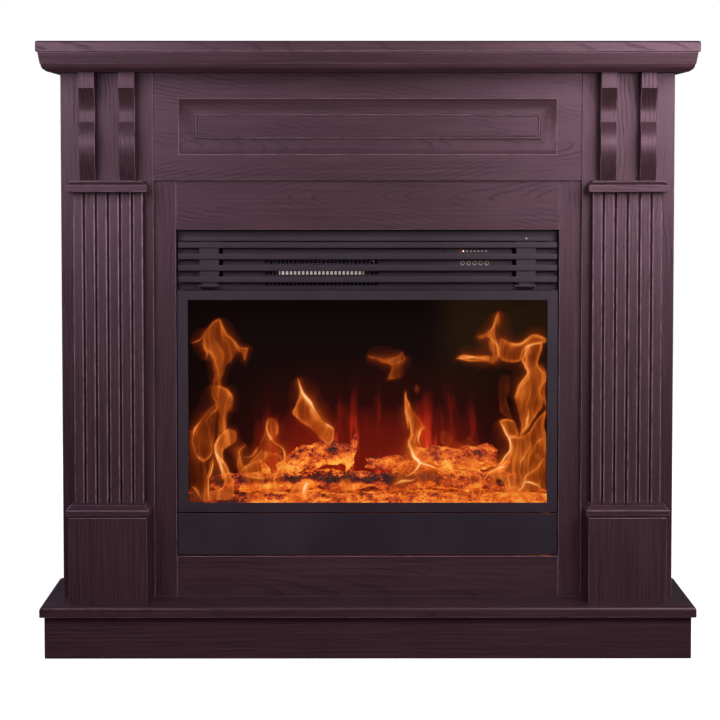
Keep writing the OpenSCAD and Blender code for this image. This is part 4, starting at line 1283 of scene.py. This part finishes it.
# How far a log's middle rises above the line between its ends, once those droop
LOG_CROWN = 7 * MM
LONG_DROOP = 26 * MM
SHORT_DROOP = 2 * MM
LOG_END_INSET = 3 * MM
# Only logs whose tops come this near to the pile's top droop
TIER_SLACK = 4 * MM
STUB_DEPTH = 32 * MM
STUB_LEAN = 4 * MM
# Broken stubs between the logs: foot and tip as (across, height above the pile's top), and radius
LOG_STUBS = (
    ((-0.034, -0.052), (-0.019, 0.008), 8 * MM),
    ((0.060, -0.050), (0.075, 0.012), 8 * MM),
    ((0.205, -0.060), (0.226, -0.030), 9 * MM),
    ((-0.150, -0.070), (-0.172, -0.036), 9 * MM))


def lumpy_log(shape, start, end, radius, droop=(0.0, 0.0), taper=0.34, sides=52, rings=64):
    """Adds one charred log between two points, with its ends drooping: lumps, bark ridges, broken ends."""
    axis = (end - start).normalized()
    side = axis.cross(Vector((0.0, 1.0, 0.0))).normalized()
    other = axis.cross(side)
    length = (end - start).length
    grid = []
    for ring in range(rings + 1):
        share = ring / rings
        bulge = 1.0 - taper * abs(2 * share - 1) ** 3
        fall = droop[0] * (1 - share) ** 2 + droop[1] * share ** 2 - LOG_CROWN * math.sin(math.pi * share)
        centre = start + axis * (length * share) - Vector((0.0, 0.0, fall if any(droop) else 0.0))
        row = []
        for step in range(sides):
            turn = 2 * math.pi * step / sides
            out = side * math.cos(turn) + other * math.sin(turn)
            spot = centre + out * radius
            lump = rough_height(spot, 30.0)
            round_bark = Vector((spot.x * 28.0, math.cos(turn) * 3.1, math.sin(turn) * 3.1 + radius * 90))
            bark = abs(noise.noise(round_bark))
            check = rough_height(spot, 170.0, 2)
            reach = radius * bulge * (0.86 + 0.34 * lump) - 2.6 * MM * (1 - bark) + 1.6 * MM * check
            ragged = rough_height(spot + axis * 0.3, 110.0) * 5 * MM * (abs(2 * share - 1) ** 6)
            row.append(shape.verts.new(centre + out * min(reach, radius) + axis * ragged))
        grid.append(row)
    for first, second in zip(grid, grid[1:]):
        bridge(shape, first, second)
    for row, inward in ((grid[0], axis), (grid[-1], -axis)):
        hollow = [shape.verts.new(vertex.co.lerp(sum((v.co for v in row), Vector()) / sides, 0.45)
                                  + inward * (2.5 * MM + 2 * MM * rough_height(vertex.co, 140.0)))
                  for vertex in row]
        bridge(shape, row, hollow)
        shape.faces.new(hollow)


def node_islands(node):
    """The lowest and highest corner of each separate solid of a CAD node."""
    shape = merged_copy(node)
    left = set(shape.verts)
    boxes = []
    while left:
        stack = [left.pop()]
        island = list(stack)
        while stack:
            for edge in stack.pop().link_edges:
                for vertex in edge.verts:
                    if vertex in left:
                        left.remove(vertex)
                        stack.append(vertex)
                        island.append(vertex)
        places = np.array([vertex.co for vertex in island])
        boxes.append((Vector(places.min(0)), Vector(places.max(0))))
    shape.free()
    return sorted(boxes, key=lambda box: tuple(box[0]))


class FIREPLACE_OT_logs(bpy.types.Operator):
    """Cast the pile of charred logs with its broken stubs"""

    bl_idname = "fireplace.logs"
    bl_label = "Logs"

    def execute(self, context):
        shape = bmesh.new()
        pile_low, pile_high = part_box("log_set")
        for low, high in node_islands("log_set"):
            middle = (low + high) / 2
            radius = (high.z - low.z) / 2
            droop = (LONG_DROOP, SHORT_DROOP) if middle.x < 0 else (SHORT_DROOP, LONG_DROOP)
            if high.z < pile_high.z - TIER_SLACK:
                droop = (0.0, 0.0)
            lumpy_log(shape, Vector((low.x + LOG_END_INSET, middle.y, middle.z)),
                      Vector((high.x - LOG_END_INSET, middle.y, middle.z)), radius, droop)
        stub_y = pile_low.y + STUB_DEPTH
        for foot, tip, radius in LOG_STUBS:
            lumpy_log(shape, Vector((foot[0], stub_y, pile_high.z + foot[1])),
                      Vector((tip[0], stub_y - STUB_LEAN, pile_high.z + tip[1])),
                      radius, taper=0.5, sides=28, rings=30)
        bmesh.ops.recalc_face_normals(shape, faces=shape.faces)
        show_in_place_of("log_set", mesh_of("log_set", shape), "cast")
        return {"FINISHED"}


class FIREPLACE_OT_ember_bed(bpy.types.Operator):
    """Model the ember tray and scatter loose embers along its front"""

    bl_idname = "fireplace.ember_bed"
    bl_label = "Ember bed"

    cell: length_property("Cell", "Size of one cell of the bed's surface", 0.0030, 0.001, 0.01)
    lump: length_property("Lump", "Height of the lumps in the bed", 0.0035, 0.0, 0.01)
    density: bpy.props.FloatProperty(
        name="Density", description="Loose embers on a square metre", default=9000.0, min=0.0)
    seed: bpy.props.IntProperty(name="Seed", description="Seed of the loose embers", default=4, min=0)

    def execute(self, context):
        low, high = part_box("ember_bed")
        lip = 12 * MM
        foot_half = 6 * MM
        tray_z = high.z - 16 * MM
        columns = round((high.x - low.x) / self.cell)
        rows = round((high.y - low.y) / self.cell)
        shape = bmesh.new()
        grid = []
        for row in range(rows + 1):
            y = low.y + (high.y - low.y) * row / rows
            rise = high.z - max(0.0, lip - (y - low.y))
            line = []
            for column in range(columns + 1):
                x = low.x + (high.x - low.x) * column / columns
                swell = abs(rough_height((x, y, 0.0), 60.0, 4)) + 0.4 * rough_height((x, y, 0.3), 190.0, 2)
                inside = min(1.0, column / 2, (columns - column) / 2, (rows - row) / 2)
                line.append(shape.verts.new((x, y, rise + self.lump * swell * inside)))
            grid.append(line)
        for first, second in zip(grid, grid[1:]):
            for i in range(columns):
                shape.faces.new([first[i], first[i + 1], second[i + 1], second[i]])
        rim = grid[0] + [line[-1] for line in grid[1:]]
        rim += grid[-1][-2::-1] + [line[0] for line in grid[-2:0:-1]]
        under = [shape.verts.new((vertex.co.x, vertex.co.y, tray_z)) for vertex in rim]
        bridge(shape, under, rim)
        shape.faces.new(under)
        for foot_x in (foot_half - high.x, high.x - foot_half):
            add_block(shape, (foot_x - foot_half, low.y + 20 * MM, low.z),
                      (foot_x + foot_half, low.y + 50 * MM, tray_z))
        bmesh.ops.recalc_face_normals(shape, faces=shape.faces)
        show_in_place_of("ember_bed", mesh_of("ember_bed", shape, smooth=False), "cast")
        loose = grown(ember_tree(), {
            "Strip Length": high.x - low.x - 24 * MM, "Strip Width": 14 * MM, "Density": self.density,
            "Smallest": 2.6 * MM, "Largest": 7.0 * MM, "Seed": self.seed,
            "Place": ((low.x + high.x) / 2, low.y + 11 * MM, high.z - 2 * MM)})
        show_piece("loose_embers", loose, "ember_resin", BODY_OF["ember_bed"])
        return {"FINISHED"}


def add_block(shape, low, high):
    """Adds a plain block between two corners."""
    size = Vector(high) - Vector(low)
    place = Matrix.Translation((Vector(low) + Vector(high)) / 2) @ Matrix.Diagonal((*size, 1.0))
    bmesh.ops.create_cube(shape, size=1.0, matrix=place)


# The flames, as outlines in millimetres: across from the middle of the glass, and up from its lower edge.
# Each veil is a strength and its outline. Each thread is a strength and the line that it follows.
VEILS_MM = (
    # The tall plume at the left, from its tip down
    (0.42, ((-237, 291), (-227, 272), (-209, 250), (-215, 233), (-229, 202), (-230, 185), (-237, 166),
            (-245, 182), (-249, 225), (-263, 254), (-255, 280))),
    (0.78, ((-215, 258), (-205, 250), (-191, 248), (-191, 236), (-196, 224), (-203, 236), (-211, 242))),
    (0.62, ((-245, 182), (-230, 185), (-217, 165), (-223, 140), (-223, 115), (-237, 104), (-244, 84),
            (-237, 150))),
    (0.26, ((-237, 156), (-253, 146), (-271, 126), (-280, 98), (-275, 78), (-263, 67), (-249, 76),
            (-244, 104))),
    (0.72, ((-223, 118), (-207, 114), (-207, 98), (-217, 86), (-229, 78), (-232, 60), (-239, 62),
            (-244, 100))),
    (0.78, ((-231, 64), (-221, 48), (-211, 32), (-211, 14), (-219, 0), (-253, 0), (-251, 18), (-235, 24),
            (-227, 34), (-239, 54), (-244, 76))),
    (0.66, ((-249, 76), (-253, 48), (-251, 20), (-249, 0), (-261, 0), (-262, 22), (-257, 50))),
    (0.15, ((-285, 118), (-277, 110), (-277, 80), (-261, 66), (-261, 0), (-297, 0), (-297, 100))),
    # The hooked flame in front of the left logs
    (0.30, ((-171, 90), (-165, 126), (-161, 136), (-145, 132), (-145, 100), (-153, 96), (-137, 76),
            (-165, 70))),
    (0.46, ((-207, 72), (-195, 60), (-181, 72), (-167, 84), (-151, 78), (-133, 68), (-134, 44),
            (-159, 36), (-203, 44))),
    (0.30, ((-197, 44), (-167, 46), (-165, 0), (-189, 0))),
    # The tall lick behind the left logs
    (0.52, ((-113, 200), (-105, 174), (-91, 158), (-75, 131), (-52, 116), (-55, 96), (-69, 92), (-93, 116),
            (-119, 142), (-111, 164))),
    # The loose wisp near the middle
    (0.42, ((-5, 234), (17, 232), (43, 230), (55, 240), (59, 232), (58, 202), (45, 194), (31, 197),
            (35, 216), (19, 226))),
    # The tongue over the right logs, and its spark
    (0.52, ((63, 177), (71, 156), (83, 136), (95, 118), (83, 110), (81, 96), (93, 82), (111, 72), (85, 62),
            (69, 80), (67, 112), (63, 134), (58, 160))),
    (0.16, ((77, 188), (84, 184), (83, 175), (77, 175))),
    (0.20, ((112, 114), (127, 116), (145, 98), (161, 108), (173, 86), (145, 80), (115, 96))),
    (0.30, ((42, 34), (72, 62), (115, 56), (149, 32), (149, 0), (42, 0))),
    # Short licks along the front
    (0.56, ((-119, 28), (-96, 31), (-99, 0), (-127, 0))),
    (0.50, ((-43, 36), (-25, 36), (-23, 0), (-37, 0))),
    # The big flames at the right, from the spike down
    (0.56, ((207, 304), (202, 285), (196, 272), (171, 262), (177, 258), (195, 261), (195, 238), (199, 229),
            (207, 231), (207, 274), (209, 291))),
    (0.60, ((144, 226), (152, 235), (167, 238), (186, 235), (205, 231), (203, 223), (196, 219), (179, 225))),
    (0.46, ((209, 261), (228, 254), (247, 257), (268, 266), (285, 261), (285, 253), (252, 246), (243, 227),
            (222, 223), (207, 231))),
    (0.50, ((252, 251), (280, 253), (272, 221), (285, 197), (278, 178), (280, 157), (252, 110), (243, 107),
            (245, 131), (235, 161), (243, 187), (255, 204), (247, 231))),
    (0.62, ((207, 131), (235, 133), (241, 107), (220, 105), (211, 118))),
    (0.62, ((222, 105), (252, 110), (272, 135), (285, 139), (285, 0), (218, 0), (207, 9), (196, 35),
            (190, 50),
            (209, 58), (222, 69), (226, 88))),
    (0.50, ((285, 199), (285, 130), (280, 161), (280, 178))),
    (0.56, ((151, 64), (163, 69), (172, 64), (173, 50), (182, 38), (179, 0), (165, 0), (162, 37), (155, 47))),
    (0.10, ((209, 199), (222, 204), (228, 178), (222, 163), (230, 135), (209, 146))),
    (-0.60, ((202, 38), (216, 36), (218, 20), (206, 15), (201, 26))),
)
THREADS_MM = (
    (0.8, ((-236, 291), (-227, 272), (-208, 248), (-190, 246))),
    (1.7, ((-244, 96), (-243, 73), (-237, 53), (-227, 35))),
    (1.5, ((-249, 0), (-254, 16), (-252, 43), (-250, 67))),
    (0.6, ((-279, 254), (-267, 259), (-261, 267), (-256, 279))),
    (0.7, ((-263, 257), (-260, 246), (-256, 237), (-259, 226))),
    (0.9, ((-249, 240), (-242, 222), (-236, 206), (-240, 189))),
    (1.0, ((-248, 187), (-244, 173), (-237, 151), (-246, 141), (-258, 130))),
    (1.0, ((-239, 157), (-252, 146), (-266, 134), (-277, 114), (-280, 94), (-276, 77), (-263, 67),
            (-250, 78))),
    (0.6, ((-283, 24), (-273, 16), (-263, 2))),
    (0.7, ((-227, 183), (-217, 165), (-222, 144))),
    (1.6, ((-193, 92), (-204, 83), (-204, 71), (-196, 58))),
    (1.4, ((-163, 132), (-162, 112), (-151, 98), (-137, 83), (-130, 69), (-133, 47))),
    (0.6, ((-172, 91), (-176, 81), (-184, 73), (-200, 71))),
    (0.8, ((-204, 45), (-192, 57), (-172, 67), (-155, 71))),
    (2.2, ((-140, 49), (-148, 36), (-146, 24), (-138, 16))),
    (0.5, ((-145, 130), (-146, 104))),
    (2.0, ((-113, 199), (-106, 174), (-91, 158), (-75, 131), (-52, 116))),
    (0.9, ((-4, 235), (18, 232), (42, 229), (54, 238))),
    (0.7, ((59, 233), (57, 224), (31, 218))),
    (1.9, ((93, 120), (83, 109), (82, 99), (88, 86))),
    (0.8, ((59, 160), (63, 135), (64, 114))),
    (1.4, ((69, 123), (69, 86), (80, 65), (100, 57), (124, 47), (147, 31))),
    (1.2, ((39, 39), (54, 59), (72, 62))),
    (1.0, ((36, 19), (57, 31), (79, 38))),
    (1.6, ((-96, 33), (-101, 13), (-99, 1))),
    (1.3, ((-43, 36), (-35, 22), (-35, 1))),
    (1.3, ((-66, 10), (-52, 7), (-43, 4))),
    (1.3, ((171, 262), (186, 267), (198, 275), (204, 285), (207, 303))),
    (1.0, ((198, 272), (201, 259), (206, 246), (207, 231), (198, 219))),
    (0.6, ((195, 261), (195, 238))),
    (0.9, ((145, 226), (167, 234), (186, 229), (201, 223))),
    (0.8, ((209, 261), (228, 254), (247, 256), (268, 266), (282, 260))),
    (1.0, ((257, 252), (246, 231), (252, 216), (255, 204), (243, 187), (235, 165))),
    (0.8, ((272, 221), (283, 199), (278, 180), (280, 163))),
    (1.5, ((207, 131), (218, 110), (225, 97), (224, 77), (209, 58), (192, 48))),
    (0.9, ((241, 107), (255, 125), (257, 152))),
    (0.8, ((259, 99), (252, 77), (243, 60))),
    (0.8, ((280, 103), (265, 88), (255, 50))),
    (1.5, ((283, 72), (272, 54), (255, 43), (249, 30), (241, 13))),
    (1.7, ((235, 28), (243, 20), (252, 32), (272, 24), (280, 1))),
    (1.1, ((196, 35), (201, 15), (218, 1))),
    (1.8, ((221, 56), (196, 51), (185, 34))),
    (1.4, ((165, 37), (154, 52), (152, 64), (163, 69), (172, 64), (171, 54), (181, 37))),
    (1.1, ((222, 47), (226, 24), (235, 26))),
    (1.2, ((37, 38), (46, 53), (59, 62), (71, 67))),
    (1.4, ((69, 103), (71, 82), (82, 64), (77, 50), (61, 39))),
)
THREAD_WIDTH_MM = 1.05


def curve_through(points, closed, steps=9):
    """A smooth line through the points."""
    points = np.array(points, float)
    count = len(points)
    places = []
    for i in range(count if closed else count - 1):
        if closed:
            a, b, c, d = (points[(i + k) % count] for k in (-1, 0, 1, 2))
        else:
            a, b, c, d = (points[min(max(i + k, 0), count - 1)] for k in (-1, 0, 1, 2))
        for step in range(steps):
            t = step / steps
            places.append(0.5 * (2 * b + (c - a) * t + (2 * a - 5 * b + 4 * c - d) * t * t
                                 + (3 * b - 3 * c + d - a) * t ** 3))
    places.append(places[0] if closed else points[-1])
    return np.array(places)


def distance_to_line(line, x, z):
    """The distance from each point to a line, and how far along it the nearest place is, from 0 to 1."""
    nearest = np.full(x.shape, 1e9)
    share = np.zeros(x.shape)
    for i, (a, b) in enumerate(zip(line, line[1:])):
        run = b - a
        span = max(float(run @ run), 1e-9)
        t = np.clip(((x - a[0]) * run[0] + (z - a[1]) * run[1]) / span, 0, 1)
        gap = np.hypot(x - a[0] - t * run[0], z - a[1] - t * run[1])
        closer = gap < nearest
        nearest = np.where(closer, gap, nearest)
        share = np.where(closer, (i + t) / (len(line) - 1), share)
    return nearest, share


def inside_outline(line, x, z):
    """True where a point lies inside a closed line."""
    inside = np.zeros(x.shape, bool)
    for a, b in zip(line, line[1:]):
        if a[1] != b[1]:
            crosses = (a[1] > z) != (b[1] > z)
            at = a[0] + (z - a[1]) * (b[0] - a[0]) / (b[1] - a[1])
            inside ^= crosses & (x < at)
    return inside


def soft_noise(x, z, size_x, size_z, seed):
    """Smooth noise from 0 to 1 with patches of a given size, the same at each run."""
    lattice = np.random.default_rng(seed).random((160, 160))
    u, v = x / size_x + 80, z / size_z + 20
    i, j = np.floor(u).astype(int), np.floor(v).astype(int)
    s, t = u - i, v - j
    s, t = s * s * (3 - 2 * s), t * t * (3 - 2 * t)
    i, j = i % 159, j % 159
    low = lattice[i, j] * (1 - s) + lattice[i + 1, j] * s
    high = lattice[i, j + 1] * (1 - s) + lattice[i + 1, j + 1] * s
    return low * (1 - t) + high * t


def flame_density(x, z):
    """How thick the flames are at each point of the sheet, in millimetres across and up."""
    warped_x = x + 7.0 * (soft_noise(x, z, 22, 30, 1) - 0.5) + 3.0 * (soft_noise(x, z, 7, 12, 2) - 0.5)
    warped_z = z + 7.0 * (soft_noise(x, z, 24, 26, 3) - 0.5)
    fold_x = warped_x + 20.0 * (soft_noise(x, z, 34, 46, 4) - 0.5)
    folds = np.exp(-((soft_noise(fold_x, warped_z, 8, 52, 5) - 0.5) / 0.09) ** 2)
    fine_folds = np.exp(-((soft_noise(fold_x, warped_z, 3.6, 40, 8) - 0.5) / 0.12) ** 2)
    mottle = 0.35 + 1.1 * soft_noise(warped_x, warped_z, 14, 34, 6)
    patchy = np.clip(3.6 * soft_noise(warped_x, warped_z, 20, 30, 7) - 1.35, 0.04, 1.3)
    total = np.zeros(x.shape)
    for strength, outline in VEILS_MM:
        line = curve_through(outline, True)
        gap, _ = distance_to_line(line, warped_x, warped_z)
        inside = inside_outline(line, warped_x, warped_z)
        soft = np.clip(gap / 3.0, 0, 1)
        rim = np.exp(-((gap - 1.6) / 2.2) ** 2) + 0.5 * np.exp(-gap / 7.0)
        body = strength * soft * (
            0.46 * mottle + 0.66 * rim * patchy + 0.36 * folds * mottle + 0.20 * fine_folds)
        haze = strength * 0.10 * np.exp(-gap / 3.0)
        if strength < 0:
            body, haze = strength * np.minimum(1, gap / 4), 0
        total += np.where(inside, body, haze)
    for strength, path in THREADS_MM:
        line = curve_through(path, False)
        gap, share = distance_to_line(line, warped_x, warped_z)
        taper = np.clip(3 * share, 0, 1) * np.clip(3 * (1 - share), 0, 1)
        width = THREAD_WIDTH_MM * (0.35 + 0.85 * taper * patchy)
        core = np.exp(-(gap / width) ** 2) * (0.35 + 0.65 * patchy)
        glow = 0.26 * np.exp(-gap / 3.5) + 0.12 * np.exp(-gap / 10.0) * mottle
        total += 0.8 * strength * taper ** 0.6 * (core + glow)
    return np.maximum(total, 0)


def flame_colour(density):
    """The light's colour and cover for a thickness: deep orange, then amber, then cream."""
    stops = (0.0, 0.35, 0.8, 1.5, 2.4)
    red = np.interp(density, stops, (0.42, 0.62, 0.88, 1.00, 1.00))
    green = np.interp(density, stops, (0.045, 0.105, 0.210, 0.440, 0.720))
    blue = np.interp(density, stops, (0.002, 0.008, 0.024, 0.120, 0.380))
    cover = 1 - np.exp(-1.5 * density)
    return np.stack([red, green, blue, cover], -1)


class FIREPLACE_OT_flames(bpy.types.Operator):
    """Spread the thin sheet of flame light behind the glass"""

    bl_idname = "fireplace.flames"
    bl_label = "Flames"

    top: length_property("Top", "How high the flames reach above the lower edge", 0.310, 0.1, 0.4)
    bow: length_property("Bow", "How far the sheet waves to and fro", 0.0015, 0.0, 0.004)
    thinnest: share_property("Thinnest", "Cover below which the sheet has no cell", 0.025)

    def execute(self, context):
        pitch = context.scene.fireplace_fire.flame_pitch
        glass_low, glass_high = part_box("glass_pane")
        rebate = 7 * MM
        edge = (glass_high.x - glass_low.x) / 2 - rebate
        foot = glass_low.z + rebate
        depth = (glass_high.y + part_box("ember_bed")[0].y) / 2
        across = np.arange(-edge, edge + pitch, pitch)
        up = np.arange(0.0, self.top, pitch)
        x, z = np.meshgrid(across, up)
        light = flame_colour(flame_density(x / MM, z / MM))
        fade = np.clip((edge - np.abs(x)) / (2 * MM), 0, 1) * np.clip((self.top - z) / (6 * MM), 0, 1)
        light[..., 3] *= fade
        shown = light[..., 3] > self.thinnest
        cells = shown[:-1, :-1] | shown[1:, :-1] | shown[:-1, 1:] | shown[1:, 1:]
        rows, columns = np.nonzero(cells)
        number = np.arange(x.size).reshape(x.shape)
        corners = np.stack([number[rows, columns], number[rows, columns + 1],
                            number[rows + 1, columns + 1], number[rows + 1, columns]], 1)
        used, faces = np.unique(corners, return_inverse=True)
        y = depth + self.bow * (np.sin(x * 31.0 + 1.0) + np.sin(x * 17.0 + z * 23.0)) / 2
        places = np.stack([x, y, z + foot], -1).reshape(-1, 3)[used]
        mesh = bpy.data.meshes.new("flames")
        mesh.from_pydata(places.tolist(), [], faces.reshape(-1, 4).tolist())
        write_attribute(mesh, "glow", "FLOAT_COLOR", "color", light.reshape(-1, 4)[used])
        mesh.materials.append(finish_of("flame_light"))
        show_piece("flame_sheet", mesh, "flame_screen", BODY_OF["flame_screen"])
        return {"FINISHED"}


# ---- Stage ----

CAMERA_PLACE = (-0.0286, -4.7594, 0.7863)
CAMERA_LENS_MM = 148.36
CAMERA_SENSOR_MM = 36.0
CAMERA_DROP = 0.0686
CAMERA_TURN = 0.0035


def soft_light(name, place, target, size, power, colour):
    """A square soft box that looks at a point."""
    light = bpy.data.lights.new(name, "AREA")
    light.shape = "SQUARE"
    light.size = size
    light.energy = power
    light.color = colour
    lamp = bpy.data.objects.new(name, light)
    lamp.location = place
    lamp.visible_camera = False
    lamp.rotation_euler = (Vector(target) - Vector(place)).to_track_quat("-Z", "Y").to_euler()
    bpy.context.scene.collection.objects.link(lamp)
    return lamp


# Each soft box: name, place, what it looks at, width, its power setting, its share of that, and colour
SOFT_BOXES = (
    ("left_soft_box", (-0.72, -1.12, 1.06), (-0.45, 0.0, 0.75), 0.62, "left_power", 1.0, (0.95, 0.88, 1.0)),
    ("right_soft_box", (0.72, -1.12, 1.06), (0.45, 0.0, 0.75), 0.62, "right_power", 1.0, (1.0, 0.90, 0.96)),
    ("front_fill", (0.3, -3.2, 0.9), (0.0, 0.0, 0.4), 1.4, "fill_power", 1.0, (0.97, 0.92, 1.0)),
    ("rear_fill_left", (-2.4, 2.4, 1.5), (0.0, 0.0, 0.4), 1.4, "fill_power", 1.5, (1.0, 0.95, 0.98)),
    ("rear_fill_right", (2.4, 2.4, 1.5), (0.0, 0.0, 0.4), 1.4, "fill_power", 1.5, (1.0, 0.95, 0.98)))


class FIREPLACE_OT_stage(bpy.types.Operator):
    """Lay the pale floor, set the soft lights and place the camera"""

    bl_idname = "fireplace.stage"
    bl_label = "Stage"

    def execute(self, context):
        stage = context.scene.fireplace_stage
        half = stage.floor_size / 2
        mesh = bpy.data.meshes.new("studio_floor")
        corners = [(-half, -half, 0), (half, -half, 0), (half, half, 0), (-half, half, 0)]
        mesh.from_pydata(corners, [], [(0, 1, 2, 3)])
        mesh.materials.append(finish_of("pale_floor"))
        floor = bpy.data.objects.new("studio_floor", mesh)
        context.scene.collection.objects.link(floor)
        # The floor stays bright for the camera alone, so that it doesn't flood the object from below
        floor.visible_diffuse = False
        floor.visible_glossy = False
        for name, place, target, size, setting, share, colour in SOFT_BOXES:
            lamp = soft_light(name, place, target, size, share * getattr(stage, setting), colour)
            lamp.visible_glossy = name != "front_fill"
        self.light_sky(context)
        camera = bpy.data.cameras.new("camera")
        camera.lens = CAMERA_LENS_MM
        camera.sensor_width = CAMERA_SENSOR_MM
        holder = bpy.data.objects.new("camera", camera)
        holder.location = CAMERA_PLACE
        holder.rotation_euler = (math.pi / 2 - CAMERA_DROP, 0.0, -CAMERA_TURN)
        context.scene.collection.objects.link(holder)
        context.scene.camera = holder
        context.scene.view_settings.view_transform = "Standard"
        return {"FINISHED"}

    def light_sky(self, context):
        """White where the camera sees it. All else gets a dim sky: lilac above and brown below."""
        world = bpy.data.worlds.new("studio")
        world.use_nodes = True
        context.scene.world = world
        g = Graph(world.node_tree)
        _, _, up = g.add("ShaderNodeTexCoord", None, None, "Generated").parts()
        sky = g.mix(up.step(-0.4, 0.3), (0.20, 0.120, 0.095), (0.155, 0.130, 0.185))
        seen = g.add("ShaderNodeLightPath", None, None, "Is Camera Ray")
        dim = g.add("ShaderNodeBackground", None, {"Color": sky, "Strength": 0.42})
        white = g.add("ShaderNodeBackground", None, {"Color": (1.0, 1.0, 1.0), "Strength": 1.0})
        both = g.add("ShaderNodeMixShader", None, {0: seen, 1: dim, 2: white})
        g.add("ShaderNodeOutputWorld", None, {"Surface": both})


# ---- Panel and registration ----

SETTINGS = {
    "fireplace_wood": WoodSettings,
    "fireplace_metal": MetalSettings,
    "fireplace_fire": FireSettings,
    "fireplace_stage": StageSettings,
}
OPERATORS = (
    FIREPLACE_OT_stage, FIREPLACE_OT_boards, FIREPLACE_OT_mouldings, FIREPLACE_OT_corbels,
    FIREPLACE_OT_fluted_panels, FIREPLACE_OT_steelwork, FIREPLACE_OT_louvre, FIREPLACE_OT_outlet_grille,
    FIREPLACE_OT_glass, FIREPLACE_OT_cover_screws, FIREPLACE_OT_controls, FIREPLACE_OT_heater_and_blower,
    FIREPLACE_OT_flicker_gear, FIREPLACE_OT_logs, FIREPLACE_OT_ember_bed, FIREPLACE_OT_flames)


class FIREPLACE_PT_panel(bpy.types.Panel):
    """The fireplace's settings and the steps that build it"""

    bl_idname = "FIREPLACE_PT_panel"
    bl_label = "Electric Fireplace"
    bl_space_type = "VIEW_3D"
    bl_region_type = "UI"
    bl_category = "Fireplace"

    def draw(self, context):
        """Lists the settings, then one button for each step."""
        for name, group in SETTINGS.items():
            box = self.layout.box()
            for label in group.__annotations__:
                box.prop(getattr(context.scene, name), label)
        for operator in OPERATORS:
            self.layout.operator(operator.bl_idname)


def register():
    """Registers the settings, the operators and the panel."""
    for name, group in SETTINGS.items():
        bpy.utils.register_class(group)
        setattr(bpy.types.Scene, name, bpy.props.PointerProperty(type=group))
    for operator in OPERATORS:
        bpy.utils.register_class(operator)
    bpy.utils.register_class(FIREPLACE_PT_panel)


def unregister():
    """Undoes register."""
    bpy.utils.unregister_class(FIREPLACE_PT_panel)
    for operator in reversed(OPERATORS):
        bpy.utils.unregister_class(operator)
    for name, group in SETTINGS.items():
        delattr(bpy.types.Scene, name)
        bpy.utils.unregister_class(group)


def main():
    register()
    for operator in OPERATORS:
        family, step = operator.bl_idname.split(".")
        getattr(getattr(bpy.ops, family), step)()


if __name__ == "__main__":
    main()
